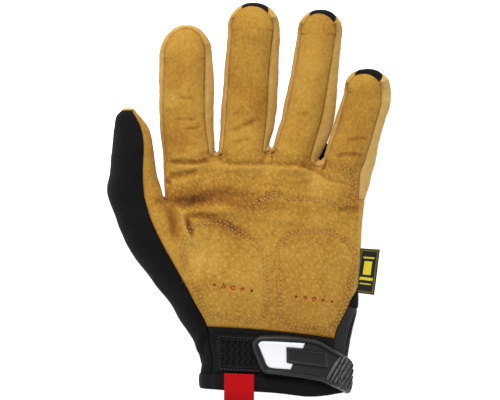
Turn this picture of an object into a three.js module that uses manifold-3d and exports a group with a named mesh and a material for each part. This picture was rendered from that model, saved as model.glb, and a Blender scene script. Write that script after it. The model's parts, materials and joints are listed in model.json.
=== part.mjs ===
import * as THREE from 'three';
import { mergeVertices } from 'three/addons/utils/BufferGeometryUtils.js';
import Module from 'manifold-3d';

const wasm = await Module();
wasm.setup();

// Left-hand work glove lying palm up on its back, in millimetres.
// +Y runs to the fingertips, +X to the little-finger side, +Z up out of the palm.

// Driving sizes
const gloveLength = 242;
const handWidth = 126;
const palmHeight = 28;
const fingerWidth = 26;
const fingerHeight = 20;
const sideDepth = 5;
const thumbHeight = 33;
const tipLift = 7;

// Walls and clearances
const leatherWall = 1.4;
const sideLeatherWall = 1.2;
const backWall = 1.3;
const cuffWall = 1.6;
const bindingWall = 2.2;
const hemWall = 2.4;
const seamGap = 0.3;

// Back of the hand: how high its edge curls up, how far it stands in from the sides, and the
// shares of the width over which it comes down flat from the thumb side and the little-finger side.
const backEdgeRise = 3.5;
const backInset = 2.4;
const backFallThumb = 0.14;
const backFallLittle = 0.1;

// Roundness of the fronts: powers of the shares across or along them
const fingerRoundness = 2.4;
const tipRoundness = 0.85;
const tipLiftCap = 0.35;
const palmRoundness = 0.7;
const palmBlendFrom = 0.72;
const foldFadeAcross = 0.08;
const foldFadeUp = 0.06;

// Side walls: how deep they tuck under the back, as a share of their reach, and how far they bulge
const sideTuck = 0.25;
const sideBulge = 2;

// Wrist closure
const hemHeight = 9;
const hemRise = 0.9;
const patchWall = 1.2;
const tabWall = 3.6;
const tabFloor = 0.72;
const tabWidth = 24.4;
const strapWall = 1.8;
const ribCount = 7;
const ribRise = 1.3;
const inlayWall = 1;
const plateWall = 0.9;

// Small trims
const pullTabWidth = 18;
const pullTabWall = 1.6;
const pullTabLength = 17;
const pullTabBend = 3;
const pullTabSag = 0.05;
const labelWidth = 12.2;
const labelLength = 27.4;
const labelWall = 0.8;
const labelDroop = 1.5;
const labelSeamAt = 0.4;
const ventDiameter = 2.8;
const ventPadWall = 1;
const ventPadMargin = 3;
const ventPadDrop = 1.25;

// How far apart, in gaps, the edges of two panels can be and still share a seam
const seamReach = 2.2;

// Grid density
const fingerColumns = 6;
const crotchColumns = 3;
const wristRows = 3;
const fingerRows = 7;
const tipRows = 3;
const thumbColumns = 9;

// Rows of the palm as shares of its height from the wrist seam; the thumb's crotch is one of them.
const thumbCrotchAt = 0.765;
const rowsUpToThumb = [0, 0.09, 0.18, 0.272, 0.365, 0.458, 0.54, 0.6, 0.655, 0.71, thumbCrotchAt];
const rowsPastThumb = [0.825, 0.885, 0.945, 1];
const tanFromAt = 0.272;
const wristFromAt = -0.3;
const tipSpread = (65 * Math.PI) / 180;

// x is a share of handWidth, y of gloveLength, half of fingerWidth, lean of gloveLength,
// left and right of sideDepth (how far the sidewalls stand out), top and drop of fingerHeight.
const fingers = [
  {
    tip: { x: -0.31, y: 0.435, side: 0.45 }, capFrom: 3, capTo: 3, lift: 0.35,
    rows: [
      { at: 0, x: -0.302, y: 0.115, half: 0.522, lean: 0.0101, left: 0.31, right: 0.43, top: 1.12, drop: 0.3 },
      { at: 0.38, x: -0.32, y: 0.206, half: 0.51, lean: 0, left: 0.39, right: 0.98, top: 0.98, drop: 0.3 },
      { at: 0.77, x: -0.318, y: 0.302, half: 0.494, lean: 0, left: 0.57, right: 1.04, top: 0.9, drop: 0.28 },
      { at: 1, x: -0.316, y: 0.357, half: 0.491, lean: 0, left: 0.64, right: 0.79, top: 0.84, drop: 0.28 },
    ],
  },
  {
    tip: { x: 0.012, y: 0.49, side: 0.45 }, capFrom: 2, capTo: 4, lift: 0.9,
    rows: [
      { at: 0, x: -0.032, y: 0.127, half: 0.491, lean: 0, left: 0.24, right: 0.37, top: 1.16, drop: 0.3 },
      { at: 0.3, x: -0.016, y: 0.213, half: 0.498, lean: 0, left: 0.55, right: 1.05, top: 1.02, drop: 0.3 },
      { at: 0.63, x: -0.005, y: 0.314, half: 0.489, lean: 0, left: 0.46, right: 1.1, top: 0.94, drop: 0.28 },
      { at: 1, x: 0.014, y: 0.428, half: 0.501, lean: 0, left: 0.43, right: 0.79, top: 0.86, drop: 0.28 },
    ],
  },
  {
    tip: { x: 0.335, y: 0.471, side: 0.5 }, capFrom: 3, capTo: 5, lift: 1,
    rows: [
      { at: 0, x: 0.21, y: 0.119, half: 0.432, lean: -0.0119, left: 0.18, right: 0.95, top: 1.14, drop: 0.3 },
      { at: 0.14, x: 0.235, y: 0.16, half: 0.437, lean: -0.004, left: 0.3, right: 1.3, top: 1.07, drop: 0.3 },
      { at: 0.29, x: 0.262, y: 0.206, half: 0.442, lean: 0, left: 0.43, right: 1.34, top: 1, drop: 0.3 },
      { at: 0.7, x: 0.306, y: 0.327, half: 0.423, lean: 0, left: 0.4, right: 1.04, top: 0.92, drop: 0.28 },
      { at: 1, x: 0.333, y: 0.418, half: 0.418, lean: 0, left: 0.37, right: 0.89, top: 0.84, drop: 0.28 },
    ],
  },
  {
    tip: { x: 0.554, y: 0.319, side: 0.55 }, capFrom: 2, capTo: 6, lift: 1,
    rows: [
      { at: 0, x: 0.468, y: 0.103, half: 0.468, lean: -0.0033, left: 0.2, right: 1.3, top: 1.02, drop: 0.28 },
      { at: 0.46, x: 0.517, y: 0.181, half: 0.454, lean: 0, left: 0.44, right: 0.94, top: 0.94, drop: 0.28 },
      { at: 0.82, x: 0.549, y: 0.241, half: 0.449, lean: 0, left: 0.32, right: 1.14, top: 0.88, drop: 0.28 },
      { at: 1, x: 0.558, y: 0.271, half: 0.411, lean: 0, left: 0.33, right: 1.22, top: 0.82, drop: 0.28 },
    ],
  },
];

// Where the leather turns between two fingers: dip is a share of gloveLength below their bases,
// inset how far its corners stand in from the fingers' edges, side a share of sideDepth.
const crotches = [
  { dip: 0.016, inset: 0.2, side: 0.5, height: 0.62 },
  { dip: 0.012, inset: 0.2, side: 0.9, height: 0.62 },
  { dip: 0.022, inset: 0.2, side: 0.9, height: 0.62 },
];

// Little-finger edge of the palm and of the cuff: side is a share of sideDepth, z of palmHeight.
const littleSide = [
  { at: -0.3, x: 0.412, y: -0.452, z: 0.62, side: 1.3 },
  { at: 0, x: 0.415, y: -0.352, z: 0.62, side: 1.9 },
  { at: 0.06, x: 0.429, y: -0.324, z: 0.62, side: 1.85 },
  { at: 0.18, x: 0.483, y: -0.269, z: 0.6, side: 1.2 },
  { at: 0.272, x: 0.507, y: -0.223, z: 0.58, side: 0.65 },
  { at: 0.458, x: 0.528, y: -0.14, z: 0.57, side: 0.3 },
  { at: 0.591, x: 0.531, y: -0.082, z: 0.56, side: 0.4 },
  { at: 0.765, x: 0.535, y: -0.001, z: 0.55, side: 0.75 },
  { at: 0.85, x: 0.537, y: 0.036, z: 0.55, side: 1.2 },
  { at: 0.93, x: 0.544, y: 0.071, z: 0.55, side: 1.4 },
];

// Left edge of the palm above the thumb: the first row is the thumb's crotch.
const indexSide = [
  { at: 0.765, side: 0.1, round: 0 },
  { at: 0.87, x: -0.415, y: 0.049, z: 0.7, side: 0.15, round: 0.3 },
  { at: 1, side: 0.31, round: 1 },
];

// Thumb side below the crotch: outer edge (x, y), reach is the half width of the round that turns
// over it, seam its place on that round (share of the reach), z mid and top as shares of
// thumbHeight, under the angle in degrees at which the fabric meets the back of the hand.
const thumbLower = [
  { at: -0.3, x: -0.24, y: -0.441, reach: 0.084, seam: -0.3, mid: 0.4, top: 0.7, under: 238 },
  { at: -0.2, x: -0.238, y: -0.405, reach: 0.084, seam: -0.3, mid: 0.4, top: 0.73, under: 238 },
  { at: -0.1, x: -0.264, y: -0.367, reach: 0.1, seam: -0.27, mid: 0.41, top: 0.77, under: 240 },
  { at: 0, x: -0.323, y: -0.319, reach: 0.127, seam: -0.08, mid: 0.42, top: 0.83, under: 242 },
  { at: 0.18, x: -0.395, y: -0.256, reach: 0.136, seam: -0.07, mid: 0.43, top: 0.92, under: 250 },
  { at: 0.272, x: -0.473, y: -0.206, reach: 0.155, seam: 0, mid: 0.44, top: 0.95, under: 258 },
  { at: 0.458, x: -0.587, y: -0.122, reach: 0.158, seam: 0.14, mid: 0.45, top: 1, under: 275 },
  { at: 0.638, x: -0.647, y: -0.054, reach: 0.146, seam: 0.21, mid: 0.45, top: 1, under: 305 },
  { at: 0.765, x: -0.684, y: 0.001, reach: 0.138, seam: 0.31, mid: 0.45, top: 0.97, under: 338 },
];

// Width of the leather between the thumb's seam and the palm, from the seam.
const tanWidth = [
  { at: 0.272, x: 0, y: 0, z: 0 },
  { at: 0.458, x: 0.126, y: -0.008, z: -0.13 },
  { at: 0.591, x: 0.143, y: 0, z: -0.17 },
  { at: 0.678, x: 0.146, y: 0, z: -0.18 },
  { at: 0.765, x: 0.097, y: 0, z: -0.23 },
];

// Free part of the thumb above the crotch.
const thumbUpper = [
  { left: -0.691, right: -0.427, y: 0.027, seam: 0.39, mid: 0.45, top: 0.94 },
  { left: -0.684, right: -0.45, y: 0.062, seam: 0.48, mid: 0.44, top: 0.91 },
  { left: -0.674, right: -0.461, y: 0.1, seam: 0.55, mid: 0.42, top: 0.87 },
  { left: -0.669, right: -0.469, y: 0.138, seam: 0.62, mid: 0.4, top: 0.82 },
  { left: -0.663, right: -0.487, y: 0.176, seam: 0.64, mid: 0.38, top: 0.75 },
  { left: -0.652, right: -0.528, y: 0.207, seam: 0.8, mid: 0.37, top: 0.66 },
  { left: -0.628, right: -0.556, y: 0.224, seam: 0.8, mid: 0.36, top: 0.55 },
];
const thumbTip = { x: -0.592, y: 0.233, z: 0.36 };
const tanEndRow = 6;
const thumbUnder = 345;
const thumbBelow = 0.85;

// Main folds of the palm: shares of handWidth and gloveLength, depth in mm with its width.
const folds = [
  {
    depth: -1.6,
    width: 4.5,
    path: [[-0.376, 0.083], [-0.196, 0.1], [-0.033, 0.09], [0.221, 0.087], [0.398, 0.053], [0.478, 0.032]],
  },
  {
    depth: 1,
    width: 5,
    path: [[-0.36, 0.048], [-0.19, 0.056], [-0.03, 0.06], [0.2, 0.06], [0.36, 0.03]],
  },
  {
    depth: -2.2,
    width: 6,
    path: [[-0.376, -0.021], [-0.274, -0.006], [-0.1, 0.019], [0.007, 0.008], [0.245, -0.001]],
  },
  {
    depth: 1.4,
    width: 5,
    path: [[-0.337, -0.035], [-0.25, -0.027], [-0.034, -0.035], [0.095, -0.047], [0.206, -0.057]],
  },
  {
    depth: -2,
    width: 4.5,
    path: [[-0.32, -0.047], [-0.206, -0.039], [-0.034, -0.073], [0.032, -0.091], [0.09, -0.14]],
  },
];

// Crown of the palm above its edges, as a share of palmHeight.
const palmCrown = [
  { at: -0.3, rise: 0.3 },
  { at: 0, rise: 0.26 },
  { at: 0.3, rise: 0.28 },
  { at: 0.6, rise: 0.2 },
  { at: 0.85, rise: 0.2 },
  { at: 1, rise: 0.2 },
];

const clamp = (value, low, high) => Math.min(high, Math.max(low, value));
const mix = (a, b, t) => a + (b - a) * t;
const mixPoint = (a, b, t) => [mix(a[0], b[0], t), mix(a[1], b[1], t), mix(a[2], b[2], t)];
const ease = (t) => {
  const s = clamp(t, 0, 1);
  return s * s * (3 - 2 * s);
};
const distance = (a, b) => Math.hypot(a[0] - b[0], a[1] - b[1], a[2] - b[2]);

// Smooth reading of one column of a table at a place along it.
function along(table, at, column) {
  const last = table.length - 1;
  let i = 0;
  while (i < last - 1 && at > table[i + 1].at) i += 1;
  const span = table[i + 1].at - table[i].at;
  const t = clamp((at - table[i].at) / span, 0, 1);
  const before = i > 0 ? i - 1 : i;
  const after = i < last - 1 ? i + 2 : i + 1;
  const value = (k) => table[k][column];
  const slope0 = ((value(i + 1) - value(before)) / (table[i + 1].at - table[before].at)) * span;
  const slope1 = ((value(after) - value(i)) / (table[after].at - table[i].at)) * span;
  const t2 = t * t;
  const t3 = t2 * t;
  return value(i) * (2 * t3 - 3 * t2 + 1) + slope0 * (t3 - 2 * t2 + t)
    + value(i + 1) * (3 * t2 - 2 * t3) + slope1 * (t3 - t2);
}

// One open sheet of points and faces, wound to face outward.
class Sheet {
  constructor() {
    this.points = [];
    this.ids = new Map();
    this.faces = [];
  }

  point(id, place) {
    if (!this.ids.has(id)) {
      this.ids.set(id, this.points.length);
      this.points.push(place);
    }
    return this.ids.get(id);
  }

  quad(a, b, c, d) {
    this.faces.push([a, b, c], [a, c, d]);
  }

  triangle(a, b, c) {
    this.faces.push([a, b, c]);
  }

  normals() {
    const sums = this.points.map(() => new THREE.Vector3());
    for (const face of this.faces) {
      const [a, b, c] = face.map((i) => new THREE.Vector3(...this.points[i]));
      for (let k = 0; k < 3; k += 1) {
        const p = [a, b, c][k];
        const q = [b, c, a][k].clone().sub(p);
        const r = [c, a, b][k].clone().sub(p);
        const turn = q.angleTo(r);
        sums[face[k]].add(q.cross(r).normalize().multiplyScalar(turn));
      }
    }
    return sums.map((sum) => sum.normalize());
  }

  rim() {
    const edges = new Map();
    for (const [a, b, c] of this.faces) {
      for (const [p, q] of [[a, b], [b, c], [c, a]]) edges.set(`${p}_${q}`, [p, q]);
    }
    return [...edges.values()].filter(([p, q]) => !edges.has(`${q}_${p}`));
  }
}

// Grid of points named by prefix, column and row; flip turns its outside over.
function addGrid(sheet, columns, rows, id, place, flip = false) {
  const index = (c, r) => sheet.point(id(c, r), sheet.ids.has(id(c, r)) ? null : place(c, r));
  for (let r = 0; r < rows; r += 1) {
    for (let c = 0; c < columns; c += 1) {
      const corners = [index(c, r), index(c + 1, r), index(c + 1, r + 1), index(c, r + 1)];
      if (flip) corners.reverse();
      sheet.quad(...corners);
    }
  }
}

// Neighbouring sheets thicken in one shared direction along their seam.
function shareSeamDirections(sheets) {
  const reach = seamGap * seamReach;
  const rims = [];
  sheets.forEach((sheet) => {
    sheet.directions = sheet.normals();
    new Set(sheet.rim().flat()).forEach((i) => rims.push({ sheet, i, place: sheet.points[i] }));
  });
  const shared = rims.map((a) => {
    const sum = new THREE.Vector3();
    for (const b of rims) {
      if (Math.abs(a.place[1] - b.place[1]) < reach && distance(a.place, b.place) < reach) {
        sum.add(b.sheet.directions[b.i]);
      }
    }
    return sum.normalize();
  });
  rims.forEach((a, k) => {
    a.sheet.directions[a.i] = shared[k];
  });
}

// Closed solid between a sheet and its copy set in by the wall.
function solidFrom(sheet, wall) {
  const directions = sheet.directions ?? sheet.normals();
  const count = sheet.points.length;
  const positions = [];
  for (const p of sheet.points) positions.push(...p);
  sheet.points.forEach((p, i) => {
    const n = directions[i];
    positions.push(p[0] - n.x * wall, p[1] - n.y * wall, p[2] - n.z * wall);
  });
  const triangles = [];
  for (const [a, b, c] of sheet.faces) triangles.push(a, b, c, a + count, c + count, b + count);
  for (const [a, b] of sheet.rim()) triangles.push(b, a, a + count, b, a + count, b + count);
  const geometry = new THREE.BufferGeometry();
  geometry.setAttribute('position', new THREE.Float32BufferAttribute(positions, 3));
  geometry.setIndex(triangles);
  geometry.computeVertexNormals();
  return geometry;
}

// Palm and finger plan
const starts = fingers.map((_, n) => n * (fingerColumns + crotchColumns));
const lastColumn = starts[3] + fingerColumns;
const rowPlaces = [...rowsUpToThumb, ...rowsPastThumb];
const rowsBelowThumb = rowsUpToThumb.length - 1;
const palmRows = rowPlaces.length - 1;
const lastFingerRow = fingerRows + tipRows;
const rowAt = (j) => rowPlaces[j];
const wristAt = (q) => mix(wristFromAt, 0, q / wristRows);

function fingerPoint(n, u, row) {
  const finger = fingers[n];
  const tipShare = clamp((row - fingerRows) / tipRows, 0, 1);
  const at = clamp(row / fingerRows, 0, 1);
  const read = (column) => along(finger.rows, at, column);
  const half = read('half') * fingerWidth;
  const baseX = read('x') * handWidth;
  const baseY = read('y') * gloveLength;
  const rowY = baseY + u * read('lean') * gloveLength;
  const tipRise = finger.tip.y * gloveLength - baseY;
  const angle = u * tipSpread;
  const tipX = baseX + (finger.tip.x * handWidth - baseX) * Math.cos(angle) + half * Math.sin(angle);
  const x = mix(baseX + u * half, tipX, tipShare);
  const y = mix(rowY, baseY + tipRise * Math.cos(angle) ** tipRoundness, tipShare);
  const lift = finger.lift * tipLift * ((at + tipShare * tipLiftCap) / (1 + tipLiftCap)) ** 3;
  const edge = mix(Math.abs(u) ** fingerRoundness, 1, tipShare ** 2);
  const z = lift + fingerHeight * (read('top') - read('drop') * edge);
  return { place: [x, y, z], lift };
}

const seamPoint = (at) => {
  const read = (column) => along(thumbLower, at, column);
  const reach = read('reach') * handWidth;
  const share = read('seam');
  const z = thumbHeight * mix(read('mid'), read('top'), Math.sqrt(1 - share * share));
  return [read('x') * handWidth + reach * (1 + share), read('y') * gloveLength, z];
};

function palmLeft(at) {
  if (at <= tanFromAt) return seamPoint(at);
  if (at <= thumbCrotchAt + 1e-6) {
    const seam = seamPoint(at);
    return [
      seam[0] + along(tanWidth, at, 'x') * handWidth,
      seam[1] + along(tanWidth, at, 'y') * gloveLength,
      seam[2] + along(tanWidth, at, 'z') * thumbHeight,
    ];
  }
  const crotch = palmLeft(thumbCrotchAt);
  const base = fingerPoint(0, -1, 0).place;
  const middle = indexSide[1];
  const middlePlace = [middle.x * handWidth, middle.y * gloveLength, middle.z * palmHeight];
  return at < middle.at
    ? mixPoint(crotch, middlePlace, (at - thumbCrotchAt) / (middle.at - thumbCrotchAt))
    : mixPoint(middlePlace, base, (at - middle.at) / (1 - middle.at));
}

const littleBase = fingerPoint(3, 1, 0).place;
const littleRows = [...littleSide, {
  at: 1,
  x: littleBase[0] / handWidth,
  y: littleBase[1] / gloveLength,
  z: littleBase[2] / palmHeight,
  side: fingers[3].rows[0].right,
}];
const palmRight = (at) => [
  along(littleRows, at, 'x') * handWidth,
  along(littleRows, at, 'y') * gloveLength,
  along(littleRows, at, 'z') * palmHeight,
];

// Upper edge of the palm: finger bases with a dip between each two.
function basePoint(column) {
  const n = Math.min(3, Math.floor(column / (fingerColumns + crotchColumns)));
  const inner = column - starts[n];
  if (inner <= fingerColumns) return fingerPoint(n, (2 * inner) / fingerColumns - 1, 0).place;
  const crotch = crotches[n];
  const left = fingerPoint(n, 1, 0).place;
  const right = fingerPoint(n + 1, -1, 0).place;
  const share = mix(crotch.inset, 1 - crotch.inset, inner - fingerColumns - 1);
  const low = mixPoint(left, right, share);
  return [low[0], low[1] - crotch.dip * gloveLength, crotch.height * fingerHeight];
}

const baseLeftX = basePoint(0)[0];
const baseSpan = basePoint(lastColumn)[0] - baseLeftX;
const columnShare = (column) => (basePoint(column)[0] - baseLeftX) / baseSpan;

function pathDistance(path, x, y) {
  let nearest = Infinity;
  for (let i = 0; i < path.length - 1; i += 1) {
    const [ax, ay] = [path[i][0] * handWidth, path[i][1] * gloveLength];
    const [bx, by] = [path[i + 1][0] * handWidth, path[i + 1][1] * gloveLength];
    const span = (bx - ax) ** 2 + (by - ay) ** 2;
    const t = clamp(((x - ax) * (bx - ax) + (y - ay) * (by - ay)) / span, 0, 1);
    nearest = Math.min(nearest, Math.hypot(x - ax - t * (bx - ax), y - ay - t * (by - ay)));
  }
  return nearest;
}

const foldRelief = (x, y) => folds.reduce(
  (sum, fold) => sum + fold.depth * Math.exp(-((pathDistance(fold.path, x, y) / fold.width) ** 2)),
  0,
);

// Coons patch between four edges, in plan.
function patchPlan(left, right, bottom, top, corners, u, v) {
  return [0, 1].map((axis) => mix(bottom[axis], top[axis], v) + mix(left[axis], right[axis], u)
    - mix(
      mix(corners.bottomLeft[axis], corners.bottomRight[axis], u),
      mix(corners.topLeft[axis], corners.topRight[axis], u),
      v,
    ));
}

const palmCorners = {
  bottomLeft: palmLeft(0),
  bottomRight: palmRight(0),
  topLeft: basePoint(0),
  topRight: basePoint(lastColumn),
};

function baseAtShare(u) {
  let column = 0;
  while (column < lastColumn - 1 && columnShare(column + 1) < u) column += 1;
  const t = (u - columnShare(column)) / (columnShare(column + 1) - columnShare(column));
  return mixPoint(basePoint(column), basePoint(column + 1), t);
}

function palmSurface(u, at, top = baseAtShare(u)) {
  const left = palmLeft(at);
  const right = palmRight(at);
  const bottom = mixPoint(palmCorners.bottomLeft, palmCorners.bottomRight, u);
  const [x, y] = patchPlan(left, right, bottom, top, palmCorners, u, at);
  const crown = along(palmCrown, at, 'rise') * palmHeight * (4 * u * (1 - u)) ** palmRoundness;
  const inside = ease(Math.min(u, 1 - u) / foldFadeAcross) * ease((1 - at) / foldFadeUp);
  const body = mix(left[2], right[2], u) + crown;
  const blend = ease((at - palmBlendFrom) / (1 - palmBlendFrom));
  const z = mix(body, top[2], blend) + foldRelief(x, y) * inside;
  return [x, y, z];
}

function palmPoint(column, row) {
  const at = rowAt(row);
  if (row === palmRows) return basePoint(column);
  if (column === 0) return palmLeft(at);
  if (column === lastColumn) return palmRight(at);
  return palmSurface(columnShare(column), at, basePoint(column));
}

// Edge of the front from the cuff's open end up the little-finger side, round every finger and
// down to the thumb's crotch; each stop also holds where the back of the hand meets the side.
const fingerId = (n, c, row) => (row === 0 ? `p:${starts[n] + c}:${palmRows}` : `f${n}:${c}:${row}`);
const edgeStops = [];
const addStop = (id, place, side, lift = 0, round = 1) => {
  edgeStops.push({ id, place, side: side * sideDepth, lift, round });
};

for (let q = 0; q < wristRows; q += 1) {
  const at = wristAt(q);
  addStop(`w:${q}`, palmRight(at), along(littleRows, at, 'side'));
}
for (let j = 0; j <= palmRows; j += 1) {
  addStop(`p:${lastColumn}:${j}`, palmPoint(lastColumn, j), along(littleRows, rowAt(j), 'side'));
}
for (let n = 3; n >= 0; n -= 1) {
  const finger = fingers[n];
  const sideAt = (row, column) => along(finger.rows, Math.min(1, row / fingerRows), column);
  const addFingerStop = (c, row, side) => {
    const { place, lift } = fingerPoint(n, (2 * c) / fingerColumns - 1, row);
    addStop(fingerId(n, c, row), place, side, lift);
  };
  for (let row = 1; row <= lastFingerRow; row += 1) addFingerStop(fingerColumns, row, sideAt(row, 'right'));
  for (let c = fingerColumns - 1; c > 0; c -= 1) {
    const across = (2 * c) / fingerColumns - 1;
    const edgeSide = sideAt(fingerRows, across > 0 ? 'right' : 'left');
    addFingerStop(c, lastFingerRow, mix(finger.tip.side, edgeSide, Math.abs(across)));
  }
  for (let row = lastFingerRow; row > 0; row -= 1) addFingerStop(0, row, sideAt(row, 'left'));
  if (n > 0) {
    const first = starts[n];
    addStop(fingerId(n, 0, 0), basePoint(first), sideAt(0, 'left'));
    for (let k = 1; k < crotchColumns; k += 1) {
      addStop(`p:${first - k}:${palmRows}`, basePoint(first - k), crotches[n - 1].side);
    }
    const next = fingers[n - 1].rows[0];
    addStop(fingerId(n - 1, fingerColumns, 0), basePoint(first - crotchColumns), next.right);
  }
}
for (let j = palmRows; j >= rowsBelowThumb; j -= 1) {
  const read = (column) => along(indexSide, rowAt(j), column);
  addStop(`p:0:${j}`, palmPoint(0, j), read('side'), 0, read('round'));
}

const stopAt = new Map();
edgeStops.forEach((stop, i) => {
  stopAt.set(stop.id, i);
  const before = edgeStops[Math.max(0, i - 1)].place;
  const after = edgeStops[Math.min(edgeStops.length - 1, i + 1)].place;
  const run = new THREE.Vector2(after[0] - before[0], after[1] - before[1]).normalize();
  stop.out = [run.y, -run.x];
  const reach = stop.side - backInset;
  stop.back = [
    stop.place[0] + stop.out[0] * reach,
    stop.place[1] + stop.out[1] * reach,
    backEdgeRise + stop.lift,
  ];
});

// Thumb sections: angle 0 faces the palm, 90 up, 180 outward, 270 down.
function thumbRow(kind, number) {
  if (kind === 'upper') {
    const row = thumbUpper[number - 1];
    const half = ((row.right - row.left) / 2) * handWidth;
    const middle = ((row.right + row.left) / 2) * handWidth;
    const mid = row.mid * thumbHeight;
    const top = row.top * thumbHeight;
    const below = (top - mid) * thumbBelow;
    return { middle, half, y: row.y * gloveLength, mid, top, seam: row.seam, under: thumbUnder, below };
  }
  const at = kind === 'wrist' ? wristAt(number) : number;
  const read = (column) => along(thumbLower, at, column);
  const half = read('reach') * handWidth;
  const mid = read('mid') * thumbHeight;
  return {
    middle: read('x') * handWidth + half,
    half,
    y: read('y') * gloveLength,
    mid,
    top: read('top') * thumbHeight,
    seam: read('seam'),
    under: read('under'),
    below: mid - seamGap,
  };
}

const toRadians = (degrees) => (degrees * Math.PI) / 180;
function thumbPlace(row, degrees) {
  const angle = toRadians(degrees);
  const rise = Math.sin(angle);
  const z = row.mid + rise * (rise > 0 ? row.top - row.mid : row.below);
  return [row.middle + row.half * Math.cos(angle), row.y, z];
}
const seamDegrees = (row) => (Math.acos(row.seam) * 180) / Math.PI;
const gapDegrees = (row) => (seamGap / row.half) * (180 / Math.PI);

const lastUpperRow = thumbUpper.length;
const thumbRows = [];
for (let q = 0; q < wristRows; q += 1) thumbRows.push({ key: `w${q}`, row: thumbRow('wrist', q) });
rowsUpToThumb.forEach((at, j) => thumbRows.push({ key: `p${j}`, row: thumbRow('palm', at) }));
for (let r = 1; r <= tanEndRow; r += 1) thumbRows.push({ key: `u${r}`, row: thumbRow('upper', r) });

const underPoint = (row) => thumbPlace(row, row.under);
const backLeft = (at) => {
  if (at > thumbCrotchAt) return edgeStops[stopAt.get(`p:0:${rowPlaces.indexOf(at)}`)].back;
  const read = (column) => along(thumbLower, at, column);
  const half = read('reach') * handWidth;
  const mid = read('mid') * thumbHeight;
  return underPoint({
    middle: read('x') * handWidth + half,
    half,
    y: read('y') * gloveLength,
    mid,
    below: mid - seamGap,
    under: read('under'),
  });
};
edgeStops[stopAt.get(`p:0:${rowsBelowThumb}`)].back = backLeft(thumbCrotchAt);

// Curve of a side from the front's edge down to the back's edge.
function sidePoint(stop, t) {
  const reach = stop.side - (stop.side - backInset) * sideTuck;
  const bulge = reach * sideBulge;
  const middle = mixPoint(stop.place, stop.back, 0.5);
  const knee = mixPoint(middle, [
    stop.place[0] + stop.out[0] * bulge,
    stop.place[1] + stop.out[1] * bulge,
    middle[2],
  ], stop.round);
  return mixPoint(mixPoint(stop.place, knee, t), mixPoint(knee, stop.back, t), t);
}

const sideLength = (stop) => {
  const middle = sidePoint(stop, 0.5);
  return distance(stop.place, middle) + distance(middle, stop.back);
};
const sideSteps = [0, 0.25, 0.5, 0.75, 1];

// Strip of side wall between two stops; its ends and seams stand back by the seam's gap.
function addSideStrip(sheet, fromId, toId, options = {}) {
  const first = stopAt.get(fromId);
  const last = stopAt.get(toId);
  const steps = options.steps ?? sideSteps;
  const welded = options.welded ?? false;
  const place = (i, t) => {
    const stop = edgeStops[i];
    const share = seamGap / sideLength(stop);
    const low = welded ? 1 : 1 - share * mix(seamReach, 1, stop.round);
    const here = sidePoint(stop, clamp(t, share, low));
    const atEnd = (i === first && !options.openStart) || (i === last && !options.openEnd);
    if (!atEnd) return here;
    const beside = sidePoint(edgeStops[i === first ? i + 1 : i - 1], clamp(t, share, low));
    const setBack = seamGap * (stop.round > 0 ? 0.6 : 1.5);
    return mixPoint(here, beside, setBack / distance(here, beside));
  };
  for (let i = first; i < last; i += 1) {
    for (let k = 0; k < steps.length - 1; k += 1) {
      const corner = (di, dk) => {
        const t = steps[k + dk];
        const stop = edgeStops[i + di];
        if (welded && t === 1) return sheet.point(`back:${stop.id}`, stop.back);
        const id = `side:${stop.id}:${t}`;
        return sheet.point(id, sheet.ids.has(id) ? null : place(i + di, t));
      };
      sheet.quad(corner(0, 0), corner(0, 1), corner(1, 1), corner(1, 0));
    }
  }
}

// Front leather: the palm and the fronts of four fingers
const palmSheet = new Sheet();
addGrid(palmSheet, lastColumn, palmRows, (c, r) => `p:${c}:${r}`, palmPoint);
fingers.forEach((_, n) => {
  addGrid(palmSheet, fingerColumns, lastFingerRow, (c, r) => fingerId(n, c, r),
    (c, r) => fingerPoint(n, (2 * c) / fingerColumns - 1, r).place);
});

// Back of the hand, from the cuff to the fingertips
const backSheet = new Sheet();
const backStop = (id) => edgeStops[stopAt.get(id)].back;
const backBase = (column) => {
  const n = Math.min(3, Math.floor(column / (fingerColumns + crotchColumns)));
  const inner = column - starts[n];
  if (inner >= fingerColumns && n < 3) return backStop(`p:${column}:${palmRows}`);
  const left = backStop(`p:${starts[n]}:${palmRows}`);
  const right = backStop(`p:${starts[n] + fingerColumns}:${palmRows}`);
  return mixPoint(left, right, inner / fingerColumns);
};
const backStride = 3;
const backFlat = (share, leftRise, rightRise) => leftRise * (1 - ease(share / backFallThumb))
  + rightRise * (1 - ease((1 - share) / backFallLittle));
const backRowCount = wristRows + palmRows;
const backRowAt = (r) => (r < wristRows ? wristAt(r) : rowAt(r - wristRows));
const backRight = (r) => backStop(r < wristRows ? `w:${r}` : `p:${lastColumn}:${r - wristRows}`);
const backCorners = {
  bottomLeft: backLeft(wristFromAt),
  bottomRight: backRight(0),
  topLeft: backStop(`p:0:${palmRows}`),
  topRight: backStop(`p:${lastColumn}:${palmRows}`),
};
function backPoint(column, r) {
  const left = backLeft(backRowAt(r));
  const right = backRight(r);
  if (column === 0) return left;
  if (column === lastColumn) return right;
  const u = columnShare(column);
  const v = (backRowAt(r) - wristFromAt) / (1 - wristFromAt);
  const top = backBase(column);
  const crotch = column % (fingerColumns + crotchColumns) > fingerColumns;
  if (r === backRowCount) {
    const n = Math.min(3, Math.floor(column / (fingerColumns + crotchColumns)));
    const inner = column - starts[n];
    if (crotch || inner === 0 || inner === fingerColumns) return top;
    const across = Math.abs((2 * inner) / fingerColumns - 1);
    return [top[0], top[1], top[2] * ease((across - 0.5) / 0.5)];
  }
  const bottom = mixPoint(backCorners.bottomLeft, backCorners.bottomRight, u);
  const [x, y] = patchPlan(left, right, bottom, top, backCorners, u, v);
  return [x, y, backFlat(u, left[2], right[2])];
}
const backId = (c, r) => {
  if (c === lastColumn && r < wristRows) return `back:w:${r}`;
  const onEdge = c === 0 || c === lastColumn || r === backRowCount;
  if (r >= wristRows && onEdge) return `back:p:${c}:${r - wristRows}`;
  return `b:${c}:${r}`;
};
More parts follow.
